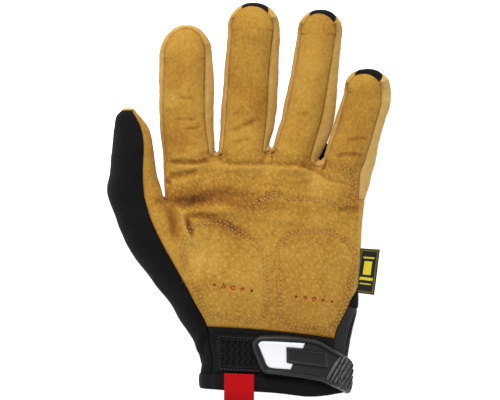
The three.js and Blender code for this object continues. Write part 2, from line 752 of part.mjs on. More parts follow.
addGrid(backSheet, lastColumn / backStride, backRowCount - 1, (c, r) => backId(c * backStride, r),
  (c, r) => backPoint(c * backStride, r), true);
for (let c = 0; c < lastColumn; c += backStride) {
  const low = [c, c + backStride].map((k) => backSheet.ids.get(backId(k, backRowCount - 1)));
  const high = Array.from({ length: backStride + 1 }, (_, i) => (
    backSheet.point(backId(c + i, backRowCount), backPoint(c + i, backRowCount))));
  for (let i = 0; i < backStride; i += 1) backSheet.triangle(low[0], high[i], high[i + 1]);
  backSheet.triangle(low[0], high[backStride], low[1]);
}
fingers.forEach((_, n) => {
  const id = (c, r) => (r === 0 ? `back:p:${starts[n] + c}:${palmRows}` : `back:f${n}:${c}:${r}`);
  const place = (c, r) => {
    const u = (2 * c) / fingerColumns - 1;
    if (r === lastFingerRow) return backStop(fingerId(n, c, r));
    const left = backStop(fingerId(n, 0, r));
    const right = backStop(fingerId(n, fingerColumns, r));
    if (c === 0) return left;
    if (c === fingerColumns) return right;
    const tipShare = clamp((r - fingerRows) / tipRows, 0, 1);
    const flat = mixPoint(left, right, c / fingerColumns);
    const { place: front, lift } = fingerPoint(n, u, r);
    const y = mix(flat[1], front[1], tipShare);
    return [flat[0], y, lift + backEdgeRise * mix(ease((Math.abs(u) - 0.5) / 0.5), 1, tipShare ** 3)];
  };
  addGrid(backSheet, fingerColumns, lastFingerRow, id, place, true);
});

// Black fabric that turns up over three fingertips and the little-finger edge of the hand
const slitTopRow = 2;
const sidewallEndRow = 10;
for (const n of [1, 2, 3]) {
  addSideStrip(
    backSheet,
    fingerId(n, fingers[n].capTo, lastFingerRow),
    fingerId(n, fingers[n].capFrom, lastFingerRow),
    { welded: true },
  );
}
const bindingSteps = [0, 0.17, 0.36, 0.42, 0.6, 0.78];
const edgeSteps = [0, 0.36, 0.6, 0.8, 1];
const slitTop = `p:${lastColumn}:${slitTopRow}`;
const sidewallEnd = `p:${lastColumn}:${sidewallEndRow}`;
addSideStrip(backSheet, 'w:0', slitTop, {
  welded: true,
  steps: edgeSteps.slice(3),
  openStart: true,
  openEnd: true,
});
addSideStrip(backSheet, slitTop, sidewallEnd, { welded: true, steps: edgeSteps, openStart: true });

// Leather side strips of the fingers
const tipStop = (n, c) => fingerId(n, c, lastFingerRow);
const sideStrips = {
  sidewall_little_outer: [sidewallEnd, tipStop(3, fingers[3].capTo)],
  sidewall_ring_little: [tipStop(3, fingers[3].capFrom), tipStop(2, fingers[2].capTo)],
  sidewall_middle_ring: [tipStop(2, fingers[2].capFrom), tipStop(1, fingers[1].capTo)],
  sidewall_index_middle: [tipStop(1, fingers[1].capFrom), tipStop(0, fingers[0].capTo)],
  sidewall_index_outer: [tipStop(0, fingers[0].capFrom), `p:0:${rowsBelowThumb}`],
};
const sideSheets = Object.entries(sideStrips).map(([name, [from, to]]) => {
  const sheet = new Sheet();
  addSideStrip(sheet, from, to);
  return { name, sheet };
});

// Binding round the slit at the little-finger side of the cuff
const bindingSheet = new Sheet();
addSideStrip(bindingSheet, 'w:0', slitTop, { steps: bindingSteps.slice(0, 3), openStart: true });
addSideStrip(bindingSheet, 'w:0', slitTop, { steps: bindingSteps.slice(3), openStart: true });
addSideStrip(bindingSheet, `p:${lastColumn}:${slitTopRow - 1}`, slitTop, {
  steps: bindingSteps.slice(2, 4),
  openStart: true,
});

// Black fabric of the thumb, running down the side of the wrist
const thumbBackSheet = new Sheet();
const blackDegrees = (row, k) => {
  const from = seamDegrees(row) + gapDegrees(row);
  const to = row.under - gapDegrees(row);
  return mix(from, to, k / thumbColumns);
};
addGrid(thumbBackSheet, thumbColumns, thumbRows.length - 1, (c, r) => `t:${c}:${thumbRows[r].key}`,
  (c, r) => thumbPlace(thumbRows[r].row, blackDegrees(thumbRows[r].row, c)), true);
const frontSteps = 6;
const tipRings = [
  { ...thumbRow('upper', tanEndRow), y: thumbUpper[tanEndRow - 1].y * gloveLength + seamGap * 1.5 },
  ...Array.from({ length: lastUpperRow - tanEndRow }, (_, i) => thumbRow('upper', tanEndRow + 1 + i)),
];
const ringColumns = thumbColumns + frontSteps;
const ringDegrees = (row, k) => (k <= thumbColumns
  ? blackDegrees(row, k)
  : mix(blackDegrees(row, thumbColumns), 360 + blackDegrees(row, 0), (k - thumbColumns) / frontSteps));
const ringIndex = (k, ring) => {
  const column = k % ringColumns;
  const row = tipRings[ring];
  return thumbBackSheet.point(`tip:${column}:${ring}`, thumbPlace(row, ringDegrees(row, column)));
};
const lastTan = thumbRows[thumbRows.length - 1];
for (let k = 0; k < thumbColumns; k += 1) {
  const below = [k, k + 1].map((c) => thumbBackSheet.ids.get(`t:${c}:${lastTan.key}`));
  thumbBackSheet.quad(below[0], ringIndex(k, 0), ringIndex(k + 1, 0), below[1]);
}
for (let ring = 0; ring < tipRings.length - 1; ring += 1) {
  for (let k = 0; k < ringColumns; k += 1) {
    const near = [ringIndex(k, ring), ringIndex(k, ring + 1)];
    const far = [ringIndex(k + 1, ring + 1), ringIndex(k + 1, ring)];
    thumbBackSheet.quad(...near, ...far);
  }
}
const pole = thumbBackSheet.point(
  'pole',
  [thumbTip.x * handWidth, thumbTip.y * gloveLength, thumbTip.z * thumbHeight],
);
for (let k = 0; k < ringColumns; k += 1) {
  thumbBackSheet.triangle(ringIndex(k, tipRings.length - 1), pole, ringIndex(k + 1, tipRings.length - 1));
}

// Leather front of the thumb, from a point at the wrist side up to the tip
const thumbFrontSheet = new Sheet();
const lowerFrontSteps = 3;
const crotchDegrees = 32;
const crestRise = 0.6;
const firstTanRow = rowsUpToThumb.findIndex((at) => at > tanFromAt);
const lowerFront = (at, share) => {
  const row = thumbRow('palm', at);
  const left = thumbPlace(row, seamDegrees(row) - gapDegrees(row));
  const edge = palmLeft(at);
  const right = [edge[0] - seamGap, edge[1], edge[2]];
  const crest = [
    mix(left[0], right[0], 0.55),
    mix(left[1], right[1], 0.5),
    Math.max(left[2], right[2]) + crestRise,
  ];
  return mixPoint(mixPoint(left, crest, share), mixPoint(crest, right, share), share);
};
const startAt = mix(tanFromAt, rowAt(firstTanRow), 0.3);
const lowerFrontAt = (r) => (r < 0 ? startAt : rowAt(firstTanRow + r));
const lowerFrontRows = rowsBelowThumb - firstTanRow + 1;
const frontId = (c, r) => `front:${c}:${r}`;
addGrid(thumbFrontSheet, lowerFrontSteps, lowerFrontRows, frontId,
  (c, r) => lowerFront(lowerFrontAt(r - 1), c / lowerFrontSteps));
const upperFront = (c, r) => {
  const row = r === 0 ? thumbRow('palm', thumbCrotchAt) : thumbRow('upper', r);
  const from = seamDegrees(row) - gapDegrees(row);
  const to = row.under - 360 + gapDegrees(row) * (r === 0 ? 1.6 : 1);
  const bend = Math.min(crotchDegrees, mix(from, to, 0.5));
  const degrees = c <= lowerFrontSteps
    ? mix(from, bend, c / lowerFrontSteps)
    : mix(bend, to, (c - lowerFrontSteps) / (frontSteps - lowerFrontSteps));
  const place = thumbPlace(row, degrees);
  if (r === 0 && c > lowerFrontSteps) {
    const fade = (c - lowerFrontSteps) / (frontSteps - lowerFrontSteps);
    const edge = mixPoint(palmLeft(thumbCrotchAt), thumbPlace(row, to), fade);
    return [edge[0] - seamGap * mix(1.5, 0, fade), edge[1] - seamGap * 0.5, edge[2]];
  }
  return place;
};
addGrid(thumbFrontSheet, frontSteps, tanEndRow, (c, r) => (
  r === 0 && c <= lowerFrontSteps ? frontId(c, lowerFrontRows) : `upper:${c}:${r}`), upperFront);

// Front of the cuff between the thumb's fabric and the slit
const cuffColumns = 8;
const palmShare = 0.35;
const cuffPoint = (share, at) => {
  const left = seamPoint(at);
  const right = palmRight(at);
  const crown = along(palmCrown, at, 'rise') * palmHeight * (4 * share * (1 - share)) ** palmRoundness;
  const place = mixPoint(left, right, share);
  return [place[0], place[1], place[2] + crown];
};
const cuffSheet = new Sheet();
const cuffTopAt = -seamGap / (gloveLength * palmShare);
addGrid(cuffSheet, cuffColumns, wristRows, (c, r) => `cuff:${c}:${r}`,
  (c, r) => cuffPoint(c / cuffColumns, r === wristRows ? cuffTopAt : wristAt(r)));

// Rolled hem round the cuff's open end, from one side of the slit to the other
const sideStopAt = (at) => {
  const place = palmRight(at);
  const side = along(littleRows, at, 'side') * sideDepth;
  const back = [place[0] + side - backInset, place[1], backEdgeRise];
  return { place, side, back, out: [1, 0], round: 1 };
};
const hemLoop = [];
const slitStop = edgeStops[0];
for (const t of bindingSteps.slice(1, 3).reverse()) hemLoop.push(sidePoint(slitStop, t));
for (let c = cuffColumns; c > 0; c -= 1) hemLoop.push(cuffPoint(c / cuffColumns, wristFromAt));
const hemThumb = thumbRow('wrist', 0);
for (let k = 0; k <= frontSteps; k += 1) {
  const degrees = mix(seamDegrees(hemThumb), hemThumb.under, k / frontSteps);
  hemLoop.push(thumbPlace(hemThumb, degrees));
}
for (let c = backStride; c < lastColumn; c += backStride) hemLoop.push(backPoint(c, 0));
for (const t of [...edgeSteps.slice(2).reverse(), bindingSteps[3]]) hemLoop.push(sidePoint(slitStop, t));
const hemProfile = [[seamGap, 0.35], [0.28 * hemHeight, 1], [0.75 * hemHeight, 1], [hemHeight, 0.3]];
const hemSheet = new Sheet();
addGrid(hemSheet, hemLoop.length - 1, hemProfile.length - 1, (c, r) => `hem:${c}:${r}`, (c, r) => {
  const before = hemLoop[Math.max(0, c - 1)];
  const after = hemLoop[Math.min(hemLoop.length - 1, c + 1)];
  const run = Math.hypot(after[0] - before[0], after[2] - before[2]);
  const [drop, share] = hemProfile[r];
  const rise = hemRise * share;
  const [x, y, z] = hemLoop[c];
  return [
    x + ((after[2] - before[2]) / run) * rise,
    y - drop,
    Math.max(0, z - ((after[0] - before[0]) / run) * rise),
  ];
});

// Surface of the wrist unrolled: x runs across the front and on along the side past the slit.
function wristPoint(x, y) {
  const hem = wristFromAt;
  let at = hem / 2;
  let share = 0.5;
  for (let pass = 0; pass < 3; pass += 1) {
    const left = seamPoint(at);
    const right = palmRight(at);
    share = (x - left[0]) / (right[0] - left[0]);
    const across = clamp(share, 0, 1);
    const top = mix(seamPoint(0)[1], palmRight(0)[1], across);
    const low = mix(seamPoint(hem)[1], palmRight(hem)[1], across);
    at = clamp((hem * (y - top)) / (low - top), hem, 0);
  }
  if (share <= 1) {
    const place = cuffPoint(clamp(share, 0, 1), at);
    return [x, y, place[2]];
  }
  const stop = sideStopAt(at);
  const place = sidePoint(stop, (x - stop.place[0]) / sideLength(stop));
  return [place[0], y, place[2]];
}
function wristNormal(x, y) {
  const step = 0.8;
  const at = (dx, dy) => new THREE.Vector3(...wristPoint(x + dx, y + dy));
  const across = at(step, 0).sub(at(-step, 0));
  const up = at(0, step).sub(at(0, -step));
  return across.cross(up).normalize();
}
const wristRaised = (x, y, rise) => {
  const p = wristPoint(x, y);
  const n = wristNormal(x, y);
  return [p[0] + n.x * rise, p[1] + n.y * rise, p[2] + n.z * rise];
};

// Closed plate between a lower and an upper grid of the same size.
function plateFrom(columns, rows, lower, upper) {
  const positions = [];
  const index = (c, r, side) => 2 * (r * (columns + 1) + c) + side;
  for (let r = 0; r <= rows; r += 1) {
    for (let c = 0; c <= columns; c += 1) positions.push(...lower(c, r), ...upper(c, r));
  }
  const triangles = [];
  const quad = (a, b, c, d) => triangles.push(a, b, c, a, c, d);
  for (let r = 0; r < rows; r += 1) {
    for (let c = 0; c < columns; c += 1) {
      quad(index(c, r, 1), index(c + 1, r, 1), index(c + 1, r + 1, 1), index(c, r + 1, 1));
      quad(index(c, r, 0), index(c, r + 1, 0), index(c + 1, r + 1, 0), index(c + 1, r, 0));
    }
  }
  for (let c = 0; c < columns; c += 1) {
    quad(index(c, 0, 0), index(c + 1, 0, 0), index(c + 1, 0, 1), index(c, 0, 1));
    quad(index(c + 1, rows, 0), index(c, rows, 0), index(c, rows, 1), index(c + 1, rows, 1));
  }
  for (let r = 0; r < rows; r += 1) {
    quad(index(0, r + 1, 0), index(0, r, 0), index(0, r, 1), index(0, r + 1, 1));
    quad(index(columns, r, 0), index(columns, r + 1, 0), index(columns, r + 1, 1), index(columns, r, 1));
  }
  const geometry = new THREE.BufferGeometry();
  geometry.setAttribute('position', new THREE.Float32BufferAttribute(positions, 3));
  geometry.setIndex(triangles);
  geometry.computeVertexNormals();
  return geometry;
}

// Four-cornered plate that follows the wrist: corners are shares of handWidth and gloveLength.
function wristPlate(corners, columns, rows, rise, wall) {
  const [bottomLeft, bottomRight, topRight, topLeft] = corners;
  const plan = (c, r) => [handWidth, gloveLength].map((size, axis) => size * mix(
    mix(bottomLeft[axis], bottomRight[axis], c / columns),
    mix(topLeft[axis], topRight[axis], c / columns),
    r / rows,
  ));
  return plateFrom(
    columns,
    rows,
    (c, r) => wristRaised(...plan(c, r), rise),
    (c, r) => wristRaised(...plan(c, r), rise + wall),
  );
}

// Stitched patch of loop fabric on the front of the cuff
const patchRise = seamGap * 1.5;
const patchCorners = [[-0.155, -0.429], [0.062, -0.433], [0.062, -0.342], [-0.16, -0.335]];
const patchGeometry = wristPlate(patchCorners, 8, 5, patchRise, patchWall);

// Moulded closure tab: x, y of its middle line and half its width (share of tabWidth / 2);
// raised says how far its rim stands up there.
const tabRise = patchRise + patchWall + seamGap;
const tabBody = [
  { x: 0.016, y: -0.362, half: 0.14, raised: 0.55 },
  { x: 0.022, y: -0.363, half: 0.36, raised: 0.9 },
  { x: 0.034, y: -0.368, half: 0.56, raised: 1 },
  { x: 0.053, y: -0.377, half: 0.8, raised: 1 },
  { x: 0.075, y: -0.386, half: 0.975, raised: 1 },
  { x: 0.162, y: -0.391, half: 1, raised: 1 },
  { x: 0.274, y: -0.397, half: 0.99, raised: 1 },
  { x: 0.323, y: -0.403, half: 0.98, raised: 1 },
];
const ribRun = { fromX: 0.355, toX: 0.472, fromY: -0.411, toY: -0.449, fromHalf: 0.94, toHalf: 0.8 };
const tabStations = [...tabBody];
for (let i = 0; i <= 2 * ribCount; i += 1) {
  const t = i / (2 * ribCount);
  tabStations.push({
    x: mix(ribRun.fromX, ribRun.toX, t),
    y: mix(ribRun.fromY, ribRun.toY, t ** 1.15),
    half: mix(ribRun.fromHalf, ribRun.toHalf, t),
    raised: 1,
    rib: i % 2 === 1,
    ribbed: true,
  });
}
const tabAcross = [-1, -0.9, -0.78, -0.3, 0.3, 0.78, 0.9, 1];
const tabHeights = [0.55, 1, tabFloor, tabFloor, tabFloor, tabFloor, 1, 0.55];
const tabSlant = -0.14;
const tabPlan = (i, k) => {
  const station = tabStations[i];
  const half = (station.half * tabWidth) / 2;
  const slant = station.ribbed ? tabSlant * tabAcross[k] * half : 0;
  return [station.x * handWidth - slant, station.y * gloveLength + tabAcross[k] * half];
};
const tabGeometry = plateFrom(
  tabStations.length - 1,
  tabAcross.length - 1,
  (i, k) => wristRaised(...tabPlan(i, k), tabRise),
  (i, k) => {
    const station = tabStations[i];
    const rib = station.rib && k > 0 && k < tabAcross.length - 1 ? ribRise : 0;
    const height = station.ribbed ? Math.min(tabHeights[k], tabFloor) : tabHeights[k];
    return wristRaised(...tabPlan(i, k), tabRise + tabWall * height * station.raised + rib);
  },
);

// White inlay in the tab's recess and the bare raised plate on it
const inlayRise = tabRise + tabWall * tabFloor + seamGap;
const inlayCorners = [[0.092, -0.415], [0.212, -0.42], [0.262, -0.361], [0.058, -0.357]];
const inlayGeometry = wristPlate(inlayCorners, 4, 4, inlayRise, inlayWall);
const plateCorners = [[0.182, -0.408], [0.352, -0.424], [0.345, -0.388], [0.18, -0.371]];
const plateRise = inlayRise + inlayWall + seamGap;
const plateGeometry = wristPlate(plateCorners, 5, 3, plateRise, plateWall);

// Strap that carries the tab round the little-finger side to the back of the cuff
const strapClear = 0.6;
const strapReach = 0.86;
const strapStop = sideStopAt(wristFromAt * 0.9);
const strapEnd = strapStop.place[0] + sideLength(strapStop) * strapReach;
const strapColumns = 4;
const strapRise = hemRise + 2 * seamGap;
const strapHalf = (ribRun.toHalf * tabWidth) / 2;
const strapPlan = (c, r) => {
  const across = strapHalf * mix(-0.95, 0.95, r / 3);
  const start = ribRun.toX * handWidth + strapClear - tabSlant * across;
  return [mix(start, strapEnd, c / strapColumns), ribRun.toY * gloveLength + across];
};
const strapGeometry = plateFrom(
  strapColumns,
  3,
  (c, r) => wristRaised(...strapPlan(c, r), strapRise),
  (c, r) => wristRaised(...strapPlan(c, r), strapRise + strapWall),
);

// Folded webbing tab sewn over the hem
const pullTabX = -0.0495 * handWidth;
const pullTabTop = patchCorners[1][1] * gloveLength - 2 * seamGap;
const pullRows = 5;
const pullPlan = (c, r) => [
  pullTabX + pullTabWidth * (c / 3 - 0.5),
  pullTabTop - (pullTabLength * (pullRows - r)) / pullRows,
];
const pullLow = (c, r) => {
  const [x, y] = pullPlan(c, r);
  const [, , z] = wristPoint(x, y);
  const free = Math.max(0, palmRight(wristFromAt)[1] - hemHeight + pullTabBend - y);
  return [x, y, z + hemRise + seamGap + 0.2 - pullTabSag * free * free];
};
const pullGeometry = plateFrom(3, pullRows, pullLow, (c, r) => {
  const [x, y, z] = pullLow(c, r);
  return [x, y, z + pullTabWall];
});

// Woven label standing out of the seam at the little-finger side
const labelAt = { from: 0.235, to: 0.478 };
const labelRows = 3;
const labelSheet = (c, r, rise) => {
  const at = mix(labelAt.from, labelAt.to, r / labelRows);
  const stop = sideStopAt(at);
  const root = sidePoint(stop, labelSeamAt);
  const middle = sidePoint(sideStopAt(mix(labelAt.from, labelAt.to, 0.5)), labelSeamAt);
  const y = middle[1] + labelLength * (r / labelRows - 0.5);
  return [root[0] + seamGap + c * labelWidth, y, root[2] + rise - c * labelDroop];
};
const labelGeometry = plateFrom(
  1,
  labelRows,
  (c, r) => labelSheet(c, r, 0),
  (c, r) => labelSheet(c, r, labelWall),
);

// Vent holes in two rows with a coloured pad under each row
const ventRows = [
  { name: 'vent_pad_thumb_side', from: [-0.167, -0.214], to: [0.011, -0.228] },
  { name: 'vent_pad_little_side', from: [0.224, -0.244], to: [0.4, -0.258] },
];
const ventSizes = [0.55, 0.8, 1, 0.8, 0.55];

// Shares across and up the palm of a place in plan, found by steps of Newton's method.
function palmShares(x, y) {
  let u = 0.5;
  let at = 0.3;
  const step = 0.01;
  for (let pass = 0; pass < 8; pass += 1) {
    const here = palmSurface(u, at);
    const right = palmSurface(u + step, at);
    const up = palmSurface(u, at + step);
    const [a, b] = [(right[0] - here[0]) / step, (up[0] - here[0]) / step];
    const [c, d] = [(right[1] - here[1]) / step, (up[1] - here[1]) / step];
    const [dx, dy] = [x - here[0], y - here[1]];
    const turn = a * d - b * c;
    u = clamp(u + (d * dx - b * dy) / turn, 0.02, 0.98);
    at = clamp(at + (a * dy - c * dx) / turn, 0.02, 0.9);
  }
  return [u, at];
}
const palmHeightAt = (x, y) => palmSurface(...palmShares(x, y))[2];

const inPlan = ([x, y]) => [x * handWidth, y * gloveLength];
function ventPlaces({ from, to }) {
  const [a, b] = [inPlan(from), inPlan(to)];
  return ventSizes.map((size, i) => {
    const t = i / (ventSizes.length - 1);
    return { x: mix(a[0], b[0], t), y: mix(a[1], b[1], t), diameter: ventDiameter * size };
  });
}
function ventPad(row) {
  const [a, b] = [inPlan(row.from), inPlan(row.to)];
  const run = new THREE.Vector2(b[0] - a[0], b[1] - a[1]);
  const length = run.length() + 2 * ventPadMargin;
  run.normalize();
  const plan = (c, r) => {
    const s = (c / 4) * length - ventPadMargin;
    const across = (r - 0.5) * 2 * ventPadMargin;
    return [a[0] + run.x * s - run.y * across, a[1] + run.y * s + run.x * across];
  };
  const place = (c, r, drop) => {
    const [x, y] = plan(c, r);
    return [x, y, palmHeightAt(x, y) - drop];
  };
  const top = leatherWall * ventPadDrop + 2 * seamGap;
  return plateFrom(4, 1, (c, r) => place(c, r, top + ventPadWall), (c, r) => place(c, r, top));
}

// Cuts with closed solids
function toSolid(geometry) {
  const bare = new THREE.BufferGeometry();
  bare.setAttribute('position', geometry.getAttribute('position').clone());
  bare.setIndex(geometry.index);
  const joined = mergeVertices(bare);
  return new wasm.Manifold(new wasm.Mesh({
    numProp: 3,
    vertProperties: new Float32Array(joined.attributes.position.array),
    triVerts: new Uint32Array(joined.index.array),
  }));
}
function fromSolid(solid) {
  const mesh = solid.getMesh();
  const geometry = new THREE.BufferGeometry();
  geometry.setAttribute('position', new THREE.BufferAttribute(mesh.vertProperties, 3));
  geometry.setIndex(new THREE.BufferAttribute(mesh.triVerts, 1));
  geometry.computeVertexNormals();
  return geometry;
}
function cutVents(geometry) {
  let solid = toSolid(geometry);
  for (const { x, y, diameter } of ventRows.flatMap(ventPlaces)) {
    const cutter = new THREE.CylinderGeometry(diameter / 2, diameter / 2, leatherWall * 5, 8);
    cutter.rotateX(Math.PI / 2);
    cutter.translate(x, y, palmHeightAt(x, y) - leatherWall / 2);
    solid = solid.subtract(toSolid(cutter));
  }
  return fromSolid(solid);
}

const sheets = [
  { name: 'palm_panel', sheet: palmSheet, wall: leatherWall, look: 'palm' },
  { name: 'back_panel', sheet: backSheet, wall: backWall, look: 'fabric' },
  ...sideSheets.map((entry) => ({ ...entry, wall: sideLeatherWall, look: 'side' })),
  { name: 'thumb_front', sheet: thumbFrontSheet, wall: leatherWall, look: 'thumb' },
  { name: 'thumb_back', sheet: thumbBackSheet, wall: backWall, look: 'fabric' },
  { name: 'cuff_front', sheet: cuffSheet, wall: cuffWall, look: 'cuff' },
  { name: 'cuff_side_binding', sheet: bindingSheet, wall: bindingWall, look: 'trim' },
];
shareSeamDirections(sheets.map((entry) => entry.sheet));

const looks = {
  palm: new THREE.MeshStandardMaterial({ color: 0xb98f44, roughness: 0.85 }),
  side: new THREE.MeshStandardMaterial({ color: 0xc2984c, roughness: 0.8 }),
  thumb: new THREE.MeshStandardMaterial({ color: 0xbd964d, roughness: 0.85 }),
  fabric: new THREE.MeshStandardMaterial({ color: 0x202020, roughness: 0.9 }),
  cuff: new THREE.MeshStandardMaterial({ color: 0x1a1a1a, roughness: 0.9 }),
  trim: new THREE.MeshStandardMaterial({ color: 0x1c1c1c, roughness: 0.8 }),
  rubber: new THREE.MeshStandardMaterial({ color: 0x2f3033, roughness: 0.5 }),
  inlay: new THREE.MeshStandardMaterial({ color: 0xf2f2f4, roughness: 0.5 }),
  red: new THREE.MeshStandardMaterial({ color: 0xba0c14, roughness: 0.7 }),
  orange: new THREE.MeshStandardMaterial({ color: 0xd75a28, roughness: 0.8 }),
};

const glove = new THREE.Group();
glove.name = 'work_glove';
function addMesh(name, geometry, look) {
  const mesh = new THREE.Mesh(geometry, looks[look]);
  mesh.name = name;
  glove.add(mesh);
}
for (const { name, sheet, wall, look } of sheets) {
  const geometry = solidFrom(sheet, wall);
  addMesh(name, name === 'palm_panel' ? cutVents(geometry) : geometry, look);
}
addMesh('cuff_hem', solidFrom(hemSheet, hemWall), 'trim');
addMesh('loop_patch', patchGeometry, 'trim');
addMesh('closure_tab', tabGeometry, 'rubber');
addMesh('tab_inlay', inlayGeometry, 'inlay');
addMesh('tab_plate', plateGeometry, 'rubber');
addMesh('closure_strap', strapGeometry, 'trim');
addMesh('pull_tab', pullGeometry, 'red');
addMesh('side_label', labelGeometry, 'trim');
for (const row of ventRows) addMesh(row.name, ventPad(row), 'orange');

export default glove;
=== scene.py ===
import json
import math

import bpy
import numpy as np
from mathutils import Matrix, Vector
from mathutils.geometry import delaunay_2d_cdt
from mathutils.kdtree import KDTree

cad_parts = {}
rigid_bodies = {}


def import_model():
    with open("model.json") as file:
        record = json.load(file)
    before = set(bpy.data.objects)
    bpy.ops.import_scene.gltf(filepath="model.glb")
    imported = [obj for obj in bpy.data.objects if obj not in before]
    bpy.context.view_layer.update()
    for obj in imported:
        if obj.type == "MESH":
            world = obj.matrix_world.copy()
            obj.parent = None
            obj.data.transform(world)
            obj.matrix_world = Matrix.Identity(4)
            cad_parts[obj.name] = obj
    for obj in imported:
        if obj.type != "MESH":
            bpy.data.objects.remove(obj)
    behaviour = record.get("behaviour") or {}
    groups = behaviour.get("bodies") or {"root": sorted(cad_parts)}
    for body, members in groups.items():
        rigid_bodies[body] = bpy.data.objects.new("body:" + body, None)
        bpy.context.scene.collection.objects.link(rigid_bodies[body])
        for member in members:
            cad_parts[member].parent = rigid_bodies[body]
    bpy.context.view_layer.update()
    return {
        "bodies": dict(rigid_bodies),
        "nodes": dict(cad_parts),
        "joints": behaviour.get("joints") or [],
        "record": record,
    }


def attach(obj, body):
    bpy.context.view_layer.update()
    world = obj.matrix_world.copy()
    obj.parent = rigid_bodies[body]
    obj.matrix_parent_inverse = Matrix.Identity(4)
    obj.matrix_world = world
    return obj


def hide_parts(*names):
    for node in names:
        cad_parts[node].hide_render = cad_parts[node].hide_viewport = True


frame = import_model()
print("frame loaded with", len(frame["nodes"]), "nodes")

# Straight down on the palm, as the photograph looks at it
camera = {"place": (0.0003, -0.0003, 1.164), "lens": 135.0, "sensor": 36.0, "far": 20}
lens = bpy.data.cameras.new("camera")
lens.lens = camera["lens"]
lens.sensor_width = camera["sensor"]
lens.clip_end = camera["far"]
eye = bpy.data.objects.new("camera", lens)
eye.location = camera["place"]
bpy.context.scene.collection.objects.link(eye)
bpy.context.scene.camera = eye
print("camera set")

# All sizes below are in millimetres, as a glove maker reads them
hand = {
    "length": 242.0, "width": 126.0, "palm": 28.0, "finger": 26.0, "fingerHigh": 20.0,
    "side": 5.0, "thumbHigh": 33.0, "tipLift": 7.0, "gap": 0.06, "backRise": 3.5, "backInset": 2.4,
    "tubeRows": 7, "tipRows": 3, "tipSpread": math.radians(65), "crotchAt": 0.765, "tanFrom": 0.272,
    "wristFrom": -0.3, "slitTop": 0.18, "bendReach": 10.0, "bendStep": 0.02, "indexBlend": 0.08,
}
inset = hand["gap"]
metre = 0.001


def rowsOf(names, *rows):
    return [dict(zip(names.split(), row)) for row in rows]


def finger(tip, capFrom, capTo, lift, *rows):
    names = "at x y half lean left right top drop"
    return {
        "tip": dict(zip(("x", "y", "side"), tip)), "capFrom": capFrom, "capTo": capTo, "lift": lift,
        "rows": rowsOf(names, *rows),
    }


# From the index finger to the little one
fingers = [
    finger(
        (-0.31, 0.435, 0.45), 3, 3, 0.35,
        (0, -0.302, 0.115, 0.522, 0.0101, 0.31, 0.6, 1.12, 0.3),
        (0.38, -0.32, 0.206, 0.51, 0, 0.39, 0.98, 0.98, 0.3),
        (0.77, -0.318, 0.302, 0.494, 0, 0.57, 1.04, 0.9, 0.28),
        (1, -0.316, 0.357, 0.491, 0, 0.64, 0.79, 0.84, 0.28),
    ),
    finger(
        (0.012, 0.49, 0.45), 1.95, 4.7, 0.9,
        (0, -0.032, 0.127, 0.491, 0, 0.4, 0.45, 1.16, 0.3),
        (0.3, -0.016, 0.213, 0.498, 0, 0.55, 1.05, 1.02, 0.3),
        (0.63, -0.005, 0.314, 0.489, 0, 0.46, 1.1, 0.94, 0.28),
        (1, 0.014, 0.428, 0.501, 0, 0.43, 0.79, 0.86, 0.28),
    ),
    finger(
        (0.335, 0.471, 0.5), 1.97, 5.2, 1,
        (0, 0.21, 0.119, 0.432, -0.0119, 0.18, 0.95, 1.14, 0.3),
        (0.14, 0.235, 0.16, 0.437, -0.004, 0.3, 1.4, 1.07, 0.3),
        (0.29, 0.262, 0.206, 0.442, 0, 0.43, 1.48, 1, 0.3),
        (0.7, 0.306, 0.327, 0.423, 0, 0.4, 1.04, 0.92, 0.28),
        (1, 0.333, 0.418, 0.418, 0, 0.37, 0.89, 0.84, 0.28),
    ),
    finger(
        (0.554, 0.319, 0.55), 2.07, 5.2, 1,
        (0, 0.468, 0.103, 0.468, -0.0033, 0.2, 1.3, 1.02, 0.28),
        (0.46, 0.517, 0.181, 0.454, 0, 0.44, 0.94, 0.94, 0.28),
        (0.82, 0.549, 0.241, 0.449, 0, 0.32, 1.14, 0.88, 0.28),
        (1, 0.558, 0.271, 0.411, 0, 0.33, 1.22, 0.82, 0.28),
    ),
]
crotches = rowsOf("dip side high", (0.016, 0.5, 0.62), (0.012, 0.9, 0.62), (0.022, 0.9, 0.62))
littleSide = rowsOf(
    "at x y z side",
    (-0.3, 0.412, -0.452, 0.62, 1.3), (0, 0.415, -0.352, 0.62, 1.9), (0.06, 0.429, -0.324, 0.62, 1.85),
    (0.18, 0.483, -0.269, 0.6, 1.2), (0.272, 0.507, -0.223, 0.58, 0.65), (0.458, 0.528, -0.14, 0.57, 0.3),
    (0.591, 0.531, -0.082, 0.56, 0.4), (0.765, 0.535, -0.001, 0.55, 0.75), (0.85, 0.537, 0.036, 0.55, 1.2),
    (0.93, 0.544, 0.071, 0.55, 1.4),
)
indexSide = rowsOf("at side round", (0.765, 0.1, 0), (0.87, 0.15, 0.3), (1, 0.31, 1))
indexBend = {"at": 0.87, "x": -0.415, "y": 0.049, "z": 0.7}
thumbLower = rowsOf(
    "at x y reach seam mid top under",
    (-0.3, -0.24, -0.441, 0.084, -0.3, 0.4, 0.7, 238), (-0.2, -0.238, -0.405, 0.084, -0.3, 0.4, 0.73, 238),
    (-0.1, -0.264, -0.367, 0.1, -0.27, 0.41, 0.77, 240), (0, -0.323, -0.319, 0.127, -0.08, 0.42, 0.83, 242),
    (0.18, -0.395, -0.256, 0.136, -0.07, 0.43, 0.92, 250), (0.272, -0.473, -0.206, 0.155, 0, 0.44, 0.95, 258),
    (0.458, -0.587, -0.122, 0.158, 0.14, 0.45, 1, 275), (0.638, -0.647, -0.054, 0.146, 0.21, 0.45, 1, 305),
    (0.765, -0.684, 0.001, 0.138, 0.31, 0.45, 0.97, 338),
)
tanWidth = rowsOf(
    "at x y z",
    (0.272, 0, 0, 0), (0.458, 0.126, -0.008, -0.13), (0.591, 0.143, 0, -0.17), (0.678, 0.146, 0, -0.18),
    (0.765, 0.097, 0, -0.23),
)
